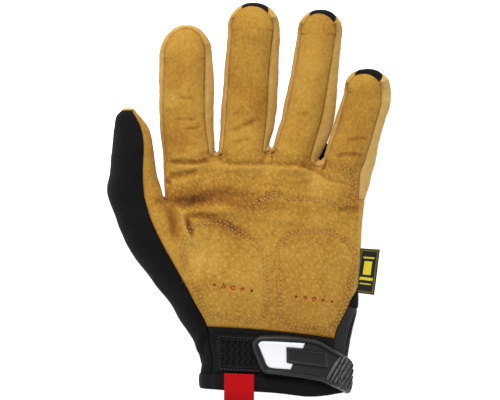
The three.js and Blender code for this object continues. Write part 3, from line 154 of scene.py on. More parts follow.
thumbUpper = rowsOf(
    "left right y seam mid top",
    (-0.691, -0.427, 0.027, 0.39, 0.45, 0.94), (-0.684, -0.45, 0.062, 0.48, 0.44, 0.91),
    (-0.674, -0.461, 0.1, 0.55, 0.42, 0.87), (-0.669, -0.469, 0.138, 0.62, 0.4, 0.82),
    (-0.663, -0.487, 0.176, 0.64, 0.38, 0.75), (-0.652, -0.528, 0.207, 0.72, 0.37, 0.66),
    (-0.628, -0.556, 0.224, 0.74, 0.36, 0.55),
)
thumbTip = {"x": -0.592, "y": 0.233, "z": 0.36, "upStep": 0.1, "tanCapFrom": 0.25, "under": 345,
            "belly": 0.85, "from": 0.638}
palmCrown = rowsOf("at rise", (-0.3, 0.3), (0, 0.26), (0.3, 0.28), (0.6, 0.2), (0.85, 0.2), (1, 0.2))


def mix(a, b, t):
    return a + (b - a) * t


def ease(t):
    s = np.clip(t, 0, 1)
    return s * s * (3 - 2 * s)


def together(x, y, z):
    return np.stack(np.broadcast_arrays(x, y, z), -1).astype(float)


def spread(t):
    return np.asarray(t, float)[..., None]


def unit(vectors):
    return vectors / np.maximum(np.linalg.norm(vectors, axis=-1, keepdims=True), 1e-12)


# Smooth reading of one column of a table at places along it
def along(table, at, column):
    places = np.array([row["at"] for row in table], float)
    values = np.array([row[column] for row in table], float)
    at = np.asarray(at, float)
    last = len(table) - 1
    i = np.clip(np.searchsorted(places, at, side="left") - 1, 0, last - 1)
    span = places[i + 1] - places[i]
    t = np.clip((at - places[i]) / span, 0, 1)
    before = np.maximum(i - 1, 0)
    after = np.minimum(i + 2, last)
    slope0 = (values[i + 1] - values[before]) / (places[i + 1] - places[before]) * span
    slope1 = (values[after] - values[i]) / (places[after] - places[i]) * span
    t2 = t * t
    t3 = t2 * t
    start = values[i] * (2 * t3 - 3 * t2 + 1) + slope0 * (t3 - 2 * t2 + t)
    return start + values[i + 1] * (3 * t2 - 2 * t3) + slope1 * (t3 - t2)


# Even steps between key places, so that each key place is one of them
def fineSteps(keys, step):
    parts = [np.linspace(a, b, max(2, round((b - a) / step) + 1))[:-1] for a, b in zip(keys, keys[1:])]
    return np.concatenate(parts + [np.array([keys[-1]], float)])


# Soft noise from -1 to 1 with lumps of the given size, the same on every run
def softNoise(points, size, seed):
    scaled = np.asarray(points, float) / size + seed * 17.37
    cell = np.floor(scaled).astype(np.int64)
    t = scaled - cell
    t = t * t * (3 - 2 * t)
    total = np.zeros(len(scaled))
    for corner in range(8):
        step = np.array([corner & 1, corner >> 1 & 1, corner >> 2 & 1])
        weight = np.prod(np.where(step == 1, t, 1 - t), axis=1)
        total += weight * scattered(cell + step, seed)
    return total * 2 - 1


# Sum of soft noises, each with its size, seed and height
def lumpy(points, *parts):
    return sum(softNoise(points, size, seed) * high for size, seed, high in parts)


# A bell-shaped rise round zero
def bell(away, width):
    return np.exp(-((away / width) ** 2))


# A number from 0 to 1 for each cell of a lattice
def scattered(cells, seed):
    value = (cells[..., 0] * 73856093) ^ (cells[..., 1] * 19349663) ^ (cells[..., 2] * 83492791)
    value = (value + seed * 2654435) & 0xFFFFFFFF
    value = ((value ^ (value >> 15)) * 2246822519) & 0xFFFFFFFF
    value = ((value ^ (value >> 13)) * 3266489917) & 0xFFFFFFFF
    return ((value ^ (value >> 16)) & 0xFFFFFFFF) / 4294967295


# Distance to the nearest dot of an uneven brick-like pattern, in plan
def dotDistance(xy, pitchX, pitchY, jitter, seed):
    row = np.floor(xy[:, 1] / pitchY).astype(np.int64)
    best = np.full(len(xy), 99.0)
    for dr in (-1, 0, 1):
        r = row + dr
        shift = (r % 2) * 0.5
        column = np.floor(xy[:, 0] / pitchX - shift).astype(np.int64)
        for dc in (-1, 0, 1):
            c = column + dc
            cells = np.stack([c, r, np.zeros_like(c)], -1)
            centreX = (c + 0.5 + shift + jitter * (scattered(cells, seed) - 0.5)) * pitchX
            centreY = (r + 0.5 + jitter * (scattered(cells, seed + 5) - 0.5)) * pitchY
            best = np.minimum(best, np.hypot(xy[:, 0] - centreX, xy[:, 1] - centreY))
    return best


def smoothPath(path, steps=5):
    path = np.array(path, float)
    ends = np.vstack([2 * path[0] - path[1], path, 2 * path[-1] - path[-2]])
    out = []
    for i in range(len(path) - 1):
        p0, p1, p2, p3 = ends[i:i + 4]
        for t in np.arange(steps) / steps:
            out.append(0.5 * (2 * p1 + (p2 - p0) * t + (2 * p0 - 5 * p1 + 4 * p2 - p3) * t * t
                              + (3 * p1 - p0 - 3 * p2 + p3) * t ** 3))
    return np.array(out + [path[-1]])


# Distance to a path in plan, with the side it lies on and how far along it is
def pathField(xy, path):
    best = np.full(len(xy), 1e9)
    side = np.ones(len(xy))
    share = np.zeros(len(xy))
    lengths = np.linalg.norm(np.diff(path, axis=0), axis=1)
    before = np.concatenate([[0], np.cumsum(lengths)])
    for i, length in enumerate(lengths):
        run = path[i + 1] - path[i]
        off = xy - path[i]
        t = np.clip(off @ run / max(length * length, 1e-9), 0, 1)
        off = off - t[:, None] * run
        distance = np.hypot(off[:, 0], off[:, 1])
        near = distance < best
        best[near] = distance[near]
        side[near] = np.sign(run[0] * off[:, 1] - run[1] * off[:, 0])[near]
        share[near] = ((before[i] + t * length) / before[-1])[near]
    return best, side, share


foldField = {"margin": 16, "ends": 0.02, "wander": 0.5, "waves": 9, "firstSeed": 3}


# One fold, crease or ridge: left and right are its widths, fade its tapered ends; its tone is painted shade in a
# crease and a painted highlight on a ridge
def foldShape(xy, fold, seed):
    path = smoothPath(fold["path"])
    margin, soft = foldField["margin"], foldField["ends"]
    inside = np.all((xy > path.min(0) - margin) & (xy < path.max(0) + margin), axis=1)
    shape = np.zeros(len(xy))
    if inside.any():
        spot = xy[inside]
        flat = np.column_stack([spot, np.zeros(len(spot))])
        drift = np.column_stack([softNoise(flat, foldField["waves"], seed + k) for k in (0, 1)])
        distance, side, share = pathField(spot + foldField["wander"] * drift, path)
        width = np.where(side > 0, fold["left"], fold["right"])
        ends = [ease((t + soft) / max(fade, soft)) for t, fade in zip((share, 1 - share), fold["fade"])]
        shape[inside] = bell(distance, width) * (ends[0] * ends[1])
    return shape


def reliefOf(xy, folds):
    height = np.zeros(len(xy))
    tone = np.zeros(len(xy))
    for k, fold in enumerate(folds):
        shape = foldShape(xy, fold, foldField["firstSeed"] + k)
        height += fold["high"] * shape
        tone += fold["tone"] * shape
    return height, tone


# A sheet of leather or fabric: points in millimetres and quads that face outward
class Sheet:
    def __init__(self):
        self.points = np.zeros((0, 3))
        self.quads = np.zeros((0, 4), int)
        self.marks = {}

    def addGrid(self, grid, flip=False, mark=None):
        rows, columns = grid.shape[:2]
        ids = len(self.points) + np.arange(rows * columns).reshape(rows, columns)
        quads = np.stack([ids[:-1, :-1], ids[:-1, 1:], ids[1:, 1:], ids[1:, :-1]], -1).reshape(-1, 4)
        if mark:
            self.marks[mark] = (len(self.quads), len(self.quads) + len(quads))
        self.points = np.vstack([self.points, grid.reshape(-1, 3)])
        self.quads = np.vstack([self.quads, quads[:, ::-1] if flip else quads])
        return self

    def weld(self):
        keys = np.round(self.points / 0.004).astype(np.int64)
        _, first, back = np.unique(keys, axis=0, return_index=True, return_inverse=True)
        self.points = self.points[first]
        self.quads = back.reshape(-1)[self.quads]
        return self

    # The quads of some marks as a sheet of its own, with the ids of the points it keeps
    def part(self, marks):
        rows = np.concatenate([np.arange(*self.marks[mark]) for mark in marks])
        quads = self.quads[rows]
        used, back = np.unique(quads, return_inverse=True)
        piece = Sheet()
        piece.points = self.points[used]
        piece.quads = back.reshape(quads.shape)
        return piece, used

    def normals(self, points=None):
        points = self.points if points is None else points
        a, b, c, d = (points[self.quads[:, k]] for k in range(4))
        facing = np.cross(c - a, d - b)
        sums = np.zeros_like(points)
        for k in range(4):
            np.add.at(sums, self.quads[:, k], facing)
        return unit(sums)

    def rim(self):
        count = len(self.points)
        ends = np.vstack([self.quads[:, [k, (k + 1) % 4]] for k in range(4)])
        ends = ends[ends[:, 0] != ends[:, 1]]
        keys = ends[:, 0] * count + ends[:, 1]
        back = ends[:, 1] * count + ends[:, 0]
        return ends[~np.isin(keys, back)]

    def rimDistance(self, keep=None):
        ends = self.rim()
        if keep is not None:
            middles = (self.points[ends[:, 0]] + self.points[ends[:, 1]]) / 2
            ends = ends[keep(middles)]
        tree = KDTree(len(ends) * 4)
        for k, t in enumerate((0, 0.25, 0.5, 0.75)):
            for i, place in enumerate(mix(self.points[ends[:, 0]], self.points[ends[:, 1]], t)):
                tree.insert(place, k * len(ends) + i)
        tree.balance()
        return np.array([tree.find(point)[2] for point in self.points])


# Mesh object from points in millimetres; values become attributes that the materials read
def addObject(name, points, faces, material, values, nodes=()):
    clean = []
    for face in faces:
        corners = [int(v) for i, v in enumerate(face) if v != face[i - 1]]
        if len(set(corners)) > 2:
            clean.append(corners)
    mesh = bpy.data.meshes.new(name)
    mesh.from_pydata((np.asarray(points) * metre).tolist(), [], clean)
    mesh.polygons.foreach_set("use_smooth", np.ones(len(mesh.polygons), bool))
    for key, value in values.items():
        mesh.attributes.new(key, "FLOAT", "POINT").data.foreach_set("value", np.asarray(value, np.float32))
    mesh.materials.append(material)
    piece = bpy.data.objects.new(name, mesh)
    bpy.context.scene.collection.objects.link(piece)
    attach(piece, "root")
    if nodes:
        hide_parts(*nodes)
    print(name, len(clean), "faces")
    return piece


# Closed piece: the outer face of a sheet, its inner face and the walls round the rim
def addClosed(name, node, sheet, outer, inner, material, values=None):
    count = len(sheet.points)
    rim = sheet.rim()
    walls = np.column_stack([rim[:, 1], rim[:, 0], rim[:, 0] + count, rim[:, 1] + count])
    faces = np.vstack([sheet.quads, sheet.quads[:, ::-1] + count, walls])
    both = {key: np.resize(value, 2 * count) for key, value in (values or {}).items()}
    return addObject(name, np.vstack([outer, inner]), faces, material, both, [node])


# Closed panel of one thickness, above the floor: bulk moves both faces, skin only the outer one
def addPanel(name, node, sheet, wall, material, bulk=0.0, skin=0.0, values=None):
    middle = sheet.points + sheet.normals() * spread(bulk)
    facing = sheet.normals(middle)
    outer = middle + facing * spread(skin)
    inner = middle - facing * wall
    for face in (outer, inner):
        face[:, 2] = np.maximum(face[:, 2], 0)
    return addClosed(name, node, sheet, outer, inner, material, values)


# Panel whose lumps die away towards its rolled rim
def addCloth(name, node, sheet, look, material, bulk):
    gap = sheet.rimDistance()
    bulk = bulk * ease(gap / look["calm"])
    addPanel(name, node, sheet, look["wall"], material, bulk, seamRoll(gap, *look["roll"]))


# Rolled edge beside a seam
def seamRoll(distance, depth=0.55, width=1.2):
    return -depth * np.clip(1 - distance / width, 0, 1) ** 2


# A shader's values as Python numbers: sums on them add Math nodes
class Wire:
    def __init__(self, shader, socket):
        self.shader = shader
        self.socket = socket

    def maths(self, operation, a, b):
        return self.shader.add("ShaderNodeMath", {"operation": operation}, {0: a, 1: b}).out(0)

    def __add__(self, other):
        return self.maths("ADD", self, other)

    def __sub__(self, other):
        return self.maths("SUBTRACT", self, other)

    def __mul__(self, other):
        return self.maths("MULTIPLY", self, other)

    def __radd__(self, other):
        return self.maths("ADD", other, self)

    def __rsub__(self, other):
        return self.maths("SUBTRACT", other, self)

    def __rmul__(self, other):
        return self.maths("MULTIPLY", other, self)

    def clamped(self):
        return self.shader.add("ShaderNodeClamp", {}, {"Value": self}).out(0)


class Added:
    def __init__(self, shader, node):
        self.shader = shader
        self.node = node

    def out(self, name):
        return Wire(self.shader, self.node.outputs[name])


class Shader:
    def __init__(self, name, roughness, sheen=0.0, specular=0.5):
        self.material = bpy.data.materials.new(name)
        self.material.use_nodes = True
        self.tree = self.material.node_tree
        self.surface = self.tree.nodes["Principled BSDF"]
        self.set("Roughness", roughness)
        self.set("Sheen Weight", sheen)
        self.set("Sheen Roughness", 0.4)
        self.set("Specular IOR Level", specular)
        self.coordinates = self.add("ShaderNodeTexCoord", {}, {}).out("Object")

    # Any node: its settings first, a ramp's stops among them, then its sockets
    def add(self, kind, settings, sockets):
        node = self.tree.nodes.new(kind)
        for key, value in settings.items():
            if key == "stops":
                ramp = node.color_ramp
                while len(ramp.elements) < len(value):
                    ramp.elements.new(0.5)
                for element, (place, colour) in zip(ramp.elements, value):
                    element.position = place
                    element.color = colour
            else:
                setattr(node, key, value)
        for key, value in sockets.items():
            self.join(node.inputs[key], value)
        return Added(self, node)

    def join(self, socket, value):
        if isinstance(value, Wire):
            self.tree.links.new(value.socket, socket)
        else:
            socket.default_value = value

    def set(self, name, value):
        self.join(self.surface.inputs[name], value)

    def noise(self, scale, detail=3.0, roughness=0.55, distortion=0.0):
        return self.add("ShaderNodeTexNoise", {}, {
            "Vector": self.coordinates, "Scale": scale, "Detail": detail, "Roughness": roughness,
            "Distortion": distortion,
        }).out(0)

    def mapped(self, settings, sockets):
        return self.add("ShaderNodeMapping", settings, {"Vector": self.coordinates, **sockets}).out(0)

    def reading(self, name):
        return self.add("ShaderNodeAttribute", {"attribute_name": name}, {}).out("Fac")

    def ramp(self, factor, stops):
        stops = [(place, tint(*colour)) for place, colour in stops]
        return self.add("ShaderNodeValToRGB", {"stops": stops}, {"Fac": factor}).out("Color")

    def blend(self, factor, a, b):
        return self.add("ShaderNodeMix", {"data_type": "RGBA"}, {0: factor, 6: a, 7: b}).out(2)

    def bump(self, height, strength, distance):
        sockets = {"Height": height, "Strength": strength, "Distance": distance}
        self.set("Normal", self.add("ShaderNodeBump", {}, sockets).out("Normal"))


# Colour from 0 to 255 as a lamp-linear colour
def tint(red, green, blue):
    linear = [((v / 255 + 0.055) / 1.055) ** 2.4 if v > 10 else v / 255 / 12.92 for v in (red, green, blue)]
    return (*linear, 1.0)


napStops = (0.0, 0.28, 0.5, 0.7, 1.0)


# Split leather: golden nap; the painted shade and highlight in its tone make it brown in the hollows and pale on the
# tops
def suede(name, look):
    shader = Shader(name, look["roughness"], sheen=look["sheen"], specular=0.25)
    broad = shader.noise(look["patch"], 3.0, 0.55, 0.4)
    spots = shader.noise(look["fleck"], 4.0, 0.6)
    fibre = shader.noise(look["fibre"], 3.0, 0.7)
    # Pebbles of the grain: short slanting grains, clear on the palm and faint elsewhere; they make the colour paler,
    # partly the grain's own colour and partly a painted highlight on their raised tops
    slanting = shader.mapped({"vector_type": "TEXTURE"}, {"Scale": (0.85, 1.5, 1.0), "Rotation": (0, 0, 0.7)})
    apart = shader.add("ShaderNodeTexVoronoi", {"voronoi_dimensions": "2D"}, {
        "Vector": slanting, "Scale": look["pebbles"], "Randomness": 0.75,
    }).out("Distance")
    pebble = (1.0 - apart * 2.9).clamped() * shader.reading("pebble")
    tone = (broad - 0.5) * look["broad"] + (spots - 0.5) * look["spots"] + (fibre - 0.5) * look["fuzz"]
    tone = (tone + pebble * look["raised"] + shader.reading("tone") + 0.47).clamped()
    names = ("deep", "brown", "gold", "pale", "pallor")
    shader.set("Base Color", shader.ramp(tone, [(place, look[key]) for place, key in zip(napStops, names)]))
    shader.set("Roughness", (spots * 0.2 + (look["roughness"] - 0.08)).clamped())
    shader.bump(spots * 0.5 + fibre * 0.5 + pebble * 0.8, look["bump"], 0.0004)
    return shader.material


# Knitted stretch fabric: two crossing sets of fine ribs
def knit(name, look):
    shader = Shader(name, look["roughness"], sheen=look["sheen"], specular=look["specular"])
    turned = shader.mapped({}, {"Rotation": (0.3, 0.2, 0.8)})
    sockets = {"Vector": turned, "Scale": look["pitch"], "Distortion": 0.6, "Detail": 1.0}
    ribs = [shader.add("ShaderNodeTexWave", {"bands_direction": way}, sockets).out("Fac") for way in "XY"]
    lint = shader.noise(look["lint"], 4.0, 0.7)
    broad = shader.noise(55.0, 3.0)
    weave = ribs[0] * 0.5 + ribs[1] * 0.5
    tone = (weave * 0.35 + lint * 0.4 + broad * 0.35).clamped()
    shader.set("Base Color", shader.ramp(tone, [(0.25, look["dark"]), (0.8, look["light"])]))
    shader.bump(weave + lint * 0.6, look["bump"], 0.00035)
    return shader.material


# Plain finish with a little variation, for rubber, thread and the small parts; the attribute it reads paints shade
# towards the hollow colour and a highlight towards the crest colour
def plain(name, look):
    shader = Shader(name, look["roughness"], sheen=look.get("sheen", 0.0), specular=look.get("specular", 0.5))
    grain = shader.noise(look["grain"], 4.0, 0.6)
    broad = shader.noise(70.0, 2.0)
    tone = (grain * 0.6 + broad * 0.4 + shader.reading("ink")).clamped()
    dark, light = look["dark"], look["light"]
    shader.set("Base Color", shader.ramp(tone, [
        (0.0, look.get("hollow", dark)), (0.3, dark), (0.7, light), (1.0, look.get("crest", light)),
    ]))
    shader.set("Roughness", (grain * 0.2 + (look["roughness"] - 0.1)).clamped())
    shader.bump(grain, look["bump"], look.get("depth", 0.0002))
    return shader.material


palmSuede = suede("palm_suede", {
    "deep": (76, 42, 11), "brown": (140, 92, 29), "gold": (173, 130, 49), "pale": (190, 152, 76),
    "pallor": (208, 180, 124), "roughness": 0.95, "sheen": 0.03, "patch": 42.0, "fleck": 520.0, "fibre": 1350.0,
    "broad": 0.34, "spots": 0.32, "fuzz": 0.4, "bump": 0.5, "pebbles": 330.0, "raised": 0.15,
})
sideSuede = suede("side_suede", {
    "deep": (84, 51, 18), "brown": (149, 105, 47), "gold": (179, 140, 70), "pale": (193, 159, 95),
    "pallor": (206, 178, 123), "roughness": 0.92, "sheen": 0.05, "patch": 40.0, "fleck": 480.0, "fibre": 1350.0,
    "broad": 0.3, "spots": 0.26, "fuzz": 0.3, "bump": 0.35, "pebbles": 330.0, "raised": 0.0,
})
blackKnit = knit("black_knit", {
    "dark": (2, 2, 3), "light": (28, 28, 29), "roughness": 0.9, "sheen": 0.015, "pitch": 330.0,
    "lint": 1100.0, "bump": 0.8, "specular": 0.1,
})
cuffKnit = knit("cuff_knit", {
    "dark": (4, 4, 5), "light": (27, 27, 28), "roughness": 0.9, "sheen": 0.02, "pitch": 460.0,
    "lint": 1000.0, "bump": 0.9, "specular": 0.15,
})
bindingTape = plain("binding_tape", {
    "dark": (10, 10, 11), "light": (28, 29, 30), "roughness": 0.8, "grain": 1500.0, "bump": 0.6,
})
# Hollow and crest: painted shade between the rows of pile and a painted highlight on them
loopPile = plain("loop_pile", {
    "dark": (5, 5, 5), "light": (22, 22, 23), "roughness": 0.95, "grain": 1300.0, "bump": 1.0,
    "depth": 0.0006, "specular": 0.2, "hollow": (0, 0, 0), "crest": (44, 44, 45),
})
# Hollow and crest: painted shade in the tab's grooves, a painted highlight on its ribs and rim
tabRubber = plain("tab_rubber", {
    "dark": (20, 21, 23), "light": (28, 29, 32), "roughness": 0.42, "grain": 1800.0, "bump": 0.15,
    "hollow": (3, 3, 4), "crest": (56, 58, 62),
})
whiteInlay = plain("white_inlay", {
    "dark": (236, 236, 240), "light": (246, 246, 250), "roughness": 0.5, "grain": 900.0, "bump": 0.05,
})
redWebbing = knit("red_webbing", {
    "dark": (162, 2, 9), "light": (193, 7, 15), "roughness": 0.8, "sheen": 0.0, "pitch": 420.0,
    "lint": 900.0, "bump": 0.5, "specular": 0.15,
})
orangeFoam = plain("orange_foam", {
    "dark": (205, 82, 34), "light": (240, 120, 60), "roughness": 0.85, "grain": 1400.0, "bump": 0.5,
})
# Hollow and crest: painted shade where a stitch sinks into its hole, a painted highlight on its top
tanThread = plain("tan_thread", {
    "dark": (158, 118, 52), "light": (190, 150, 78), "roughness": 0.7, "grain": 2200.0, "bump": 0.4,
    "hollow": (58, 34, 10), "crest": (208, 172, 104),
})
blackThread = plain("black_thread", {
    "dark": (34, 34, 35), "light": (66, 66, 68), "roughness": 0.6, "grain": 2200.0, "bump": 0.4,
})
print("materials made")


tipForm = {"arc": 0.85, "pull": 6, "edge": 2.4, "liftShare": 0.35}


# A point of a finger's front and how far the finger lifts there: u across it, row along it
def fingerShape(n, u, row):
    finger = fingers[n]
    u, row = np.broadcast_arrays(np.asarray(u, float), np.asarray(row, float))
    tipShare = np.clip((row - hand["tubeRows"]) / hand["tipRows"], 0, 1)
    at = np.clip(row / hand["tubeRows"], 0, 1)

    def read(column):
        return along(finger["rows"], at, column)

    half = read("half") * hand["finger"]
    baseX = read("x") * hand["width"]
    baseY = read("y") * hand["length"]
    shiftX = finger["tip"]["x"] * hand["width"] - baseX
    rise = finger["tip"]["y"] * hand["length"] - baseY
    angle = u * hand["tipSpread"]
    x = mix(baseX + u * half, baseX + shiftX * np.cos(angle) + half * np.sin(angle), tipShare)
    tipY = baseY + rise * np.cos(angle) ** tipForm["arc"]
    y = mix(baseY + u * read("lean") * hand["length"], tipY, tipShare)
    turn = mix(math.pi / 2, hand["tipSpread"], tipShare)
    cosine = np.clip(np.cos(turn), 0, 1)
    arcX = baseX + shiftX * cosine + np.sign(u) * half * np.sin(turn)
    arcY = baseY + rise * cosine ** tipForm["arc"]
    pull = np.abs(u) ** tipForm["pull"] * (tipShare > 0)
    up = (at + tipShare * tipForm["liftShare"]) / (1 + tipForm["liftShare"])
    lift = finger["lift"] * hand["tipLift"] * up ** 3
    edge = mix(np.abs(u) ** tipForm["edge"], 1, tipShare ** 2)
    z = lift + hand["fingerHigh"] * (read("top") - read("drop") * edge)
    return together(mix(x, arcX, pull), mix(y, arcY, pull), z), lift


# The same with the bend between a finger and its tip rounded off
def fingerPoint(n, u, row):
    place, lift = fingerShape(n, u, row)
    step = hand["bendStep"]
    start, bend, end = (fingerShape(n, u, hand["tubeRows"] + off)[0] for off in (-step, 0.0, step))
    slopes = [(b[..., 2] - a[..., 2]) / (b[..., 1] - a[..., 1]) for a, b in ((start, bend), (bend, end))]
    near = np.clip(hand["bendReach"] - np.abs(place[..., 1] - bend[..., 1]), 0, None)
    place[..., 2] += (slopes[1] - slopes[0]) * near ** 2 / (4 * hand["bendReach"])
    return place, lift


# A table's x, y and z as a place; high names what its z is a share of
def placeFrom(table, at, high):
    return together(*(
        along(table, at, key) * hand[size] for key, size in (("x", "width"), ("y", "length"), ("z", high))
    ))


def seamPoint(at):
    reach = along(thumbLower, at, "reach") * hand["width"]
    share = along(thumbLower, at, "seam")
    high = mix(along(thumbLower, at, "mid"), along(thumbLower, at, "top"), np.sqrt(1 - share * share))
    return together(
        along(thumbLower, at, "x") * hand["width"] + reach * (1 + share),
        along(thumbLower, at, "y") * hand["length"],
        high * hand["thumbHigh"],
    )


def palmLeft(at):
    at = np.asarray(at, float)
    low = np.clip(at, hand["tanFrom"], hand["crotchAt"])
    wide = placeFrom(tanWidth, low, "thumbHigh")
    seam = seamPoint(np.minimum(at, hand["crotchAt"]))
    lower = seam + wide * spread(at > hand["tanFrom"])
    if not np.any(at > hand["crotchAt"]):
        return lower
    crotch = palmLeft(np.array(hand["crotchAt"]))
    base = fingerPoint(0, -1, 0)[0]
    bend = np.array([
        indexBend["x"] * hand["width"], indexBend["y"] * hand["length"], indexBend["z"] * hand["palm"],
    ])
    t = (at - hand["crotchAt"]) / (1 - hand["crotchAt"])
    bendAt = (indexBend["at"] - hand["crotchAt"]) / (1 - hand["crotchAt"])
    # A parabola through the crotch, the bend and the finger's base
    q0 = (t - bendAt) * (t - 1) / bendAt
    q1 = t * (t - 1) / (bendAt * (bendAt - 1))
    q2 = t * (t - bendAt) / (1 - bendAt)
    upper = spread(q0) * crotch + spread(q1) * bend + spread(q2) * base
    return np.where(spread(at > hand["crotchAt"]), upper, lower)


littleBase = fingerPoint(3, 1, 0)[0]
littleRows = littleSide + [{
    "at": 1, "x": littleBase[0] / hand["width"], "y": littleBase[1] / hand["length"],
    "z": littleBase[2] / hand["palm"], "side": fingers[3]["rows"][0]["right"],
}]


def palmRight(at):
    return placeFrom(littleRows, at, "palm")


counts = {"finger": 34, "crotch": 18, "tube": 84, "tip": 22, "palmStep": 0.0072}
fingerU = np.linspace(-1, 1, counts["finger"] + 1)
fingerRows = np.concatenate([
    np.linspace(0, hand["tubeRows"], counts["tube"] + 1),
    np.linspace(hand["tubeRows"], hand["tubeRows"] + hand["tipRows"], counts["tip"] + 1)[1:],
])
topRow = hand["tubeRows"] + hand["tipRows"]
palmAt = fineSteps([0, hand["slitTop"], hand["tanFrom"], hand["crotchAt"], 1], counts["palmStep"])


crotchForm = {"round": 2.6, "valley": 1.2, "rise": 1.2, "side": 0.6}


# The turn of the leather between two fingers, a U
def crotchCurve(n):
    t = np.linspace(0, 1, counts["crotch"] + 1)
    share = (1 - np.cos(math.pi * t)) / 2
    left = fingerPoint(n, 1, 0)[0]
    right = fingerPoint(n + 1, -1, 0)[0]
    dip = (1 - np.abs(2 * share - 1) ** crotchForm["round"]) ** (1 / crotchForm["round"])
    line = mix(left, right, spread(share))
    line[:, 1] -= crotches[n]["dip"] * hand["length"] * dip
    valley = np.sin(math.pi * share) ** crotchForm["valley"]
    low = crotches[n]["high"] * hand["fingerHigh"] + crotchForm["rise"]
    line[:, 2] = mix(line[:, 2], low, valley)
    ends = mix(fingers[n]["rows"][0]["right"], fingers[n + 1]["rows"][0]["left"], share)
    side = mix(ends, crotches[n]["side"], np.sin(math.pi * t) ** crotchForm["side"])
    return line, side


topParts = []
for n in range(4):
    topParts.append(fingerPoint(n, fingerU, 0)[0])
    if n < 3:
        topParts.append(crotchCurve(n)[0][1:-1])
topLine = np.vstack(topParts)
topShare = (topLine[:, 0] - topLine[0, 0]) / (topLine[-1, 0] - topLine[0, 0])
palmCorners = [palmLeft(0.0), palmRight(0.0), topLine[0], topLine[-1]]


def patchPlan(left, right, bottom, top, corners, u, v):
    lowLeft, lowRight, highLeft, highRight = corners
    u, v = spread(u), spread(v)
    corner = mix(mix(lowLeft, lowRight, u), mix(highLeft, highRight, u), v)
    return mix(bottom, top, v) + mix(left, right, u) - corner


# Top edge without its dips, and how far each column dips below it
straightTop = topLine.copy()
fingerBase, betweenBases = np.full(counts["finger"] + 1, True), np.full(counts["crotch"] - 1, False)
isBase = np.concatenate([betweenBases if k % 2 else fingerBase for k in range(7)])
straightTop[:, 1] = np.interp(topLine[:, 0], topLine[isBase, 0], topLine[isBase, 1])
dipDepth = straightTop[:, 1] - topLine[:, 1]
palmBlend = {
    "dipFrom": 0.84, "highFrom": 0.72, "perRow": 108.0, "sigma": 1.3, "widen": 0.4, "edge": 0.07, "arch": 0.7,
    "near": 5, "lastRows": 0.02, "columns": 260, "sigmas": (1.3, 2.5, 4.5, 8.0, 13.0),
}


# How far the middle of the palm and the wrist stands above their sides
def crownAt(share, at):
    arch = (4 * np.clip(share * (1 - share), 0, 1)) ** palmBlend["arch"]
    return along(palmCrown, at, "rise") * hand["palm"] * arch


# Heights of the finger bases across the palm, smoother the farther below them
def baseHeight(x, sigma):
    weights = np.gradient(topLine[:, 0])
    fine = np.linspace(topLine[0, 0], topLine[-1, 0], palmBlend["columns"])
    sigmas = np.array(palmBlend["sigmas"])
    curves = []
    for size in sigmas:
        near = np.exp(-(((fine[:, None] - topLine[None, :, 0]) / size) ** 2)) * weights
        curves.append(near @ topLine[:, 2] / near.sum(1))
    curves = np.array(curves)
    level = np.interp(np.clip(sigma, sigmas[0], sigmas[-1]), sigmas, np.arange(len(sigmas)))
    low = np.minimum(level.astype(int), len(sigmas) - 2)
    spot = np.clip((x - fine[0]) / (fine[-1] - fine[0]) * (len(fine) - 1), 0, len(fine) - 1.001)
    k = spot.astype(int)
    below = mix(curves[low, k], curves[low, k + 1], spot - k)
    above = mix(curves[low + 1, k], curves[low + 1, k + 1], spot - k)
    return mix(below, above, level - low)


def palmSurface(u, at):
    left, right = palmLeft(at), palmRight(at)
    bottom = mix(palmCorners[0], palmCorners[1], spread(u))
    corners = palmCorners[:2] + [straightTop[0], straightTop[-1]]
    place = patchPlan(left, right, bottom, straightTop[None], corners, u, at)
    sunk = dipDepth[None] * ease((at - palmBlend["dipFrom"]) / (1 - palmBlend["dipFrom"]))
    place[..., 1] -= sunk
    level = at - sunk / palmBlend["perRow"]
    fromTop = (1 - level) * palmBlend["perRow"]
    body = mix(left[..., 2], right[..., 2], u) + crownAt(u, level)
    base = baseHeight(place[..., 0], palmBlend["sigma"] + palmBlend["widen"] * fromTop)
    base = mix(topLine[None, :, 2], base, ease((fromTop - dipDepth[None]) / palmBlend["near"]))
    high = mix(body, base, ease((level - palmBlend["highFrom"]) / (1 - palmBlend["highFrom"])))
    high = mix(high, topLine[None, :, 2], ease(1 - (1 - at) / palmBlend["lastRows"]))
    for column, side, share in ((0, left, u), (-1, right, 1 - u)):
        off = side[..., 2] - high[:, column:column + 1 or None]
        high = high + off * (1 - ease(share / palmBlend["edge"]))
    place[..., 2] = high
    return place


u, at = np.meshgrid(topShare, palmAt)
palmGrid = palmSurface(u, at)
palmGrid[-1] = topLine
palmGrid[:, 0] = palmLeft(palmAt)
palmGrid[:, -1] = palmRight(palmAt)

# Edge of the front, from the cuff up the little-finger side, round each finger, down to the thumb
edge = {"place": [], "side": [], "lift": [], "round": []}
runs = {}


def addRun(name, place, side, lift=0.0, roundness=1.0):
    count = len(place)
    columns = [np.broadcast_to(value, count) for value in (side, lift, roundness)]
    ids = []
    for k in range(count):
        if not edge["place"] or np.linalg.norm(place[k] - edge["place"][-1]) > 1e-6:
            edge["place"].append(place[k])
            for key, column in zip(("side", "lift", "round"), columns):
                edge[key].append(float(column[k]))
        ids.append(len(edge["place"]) - 1)
    runs[name] = np.array(ids)


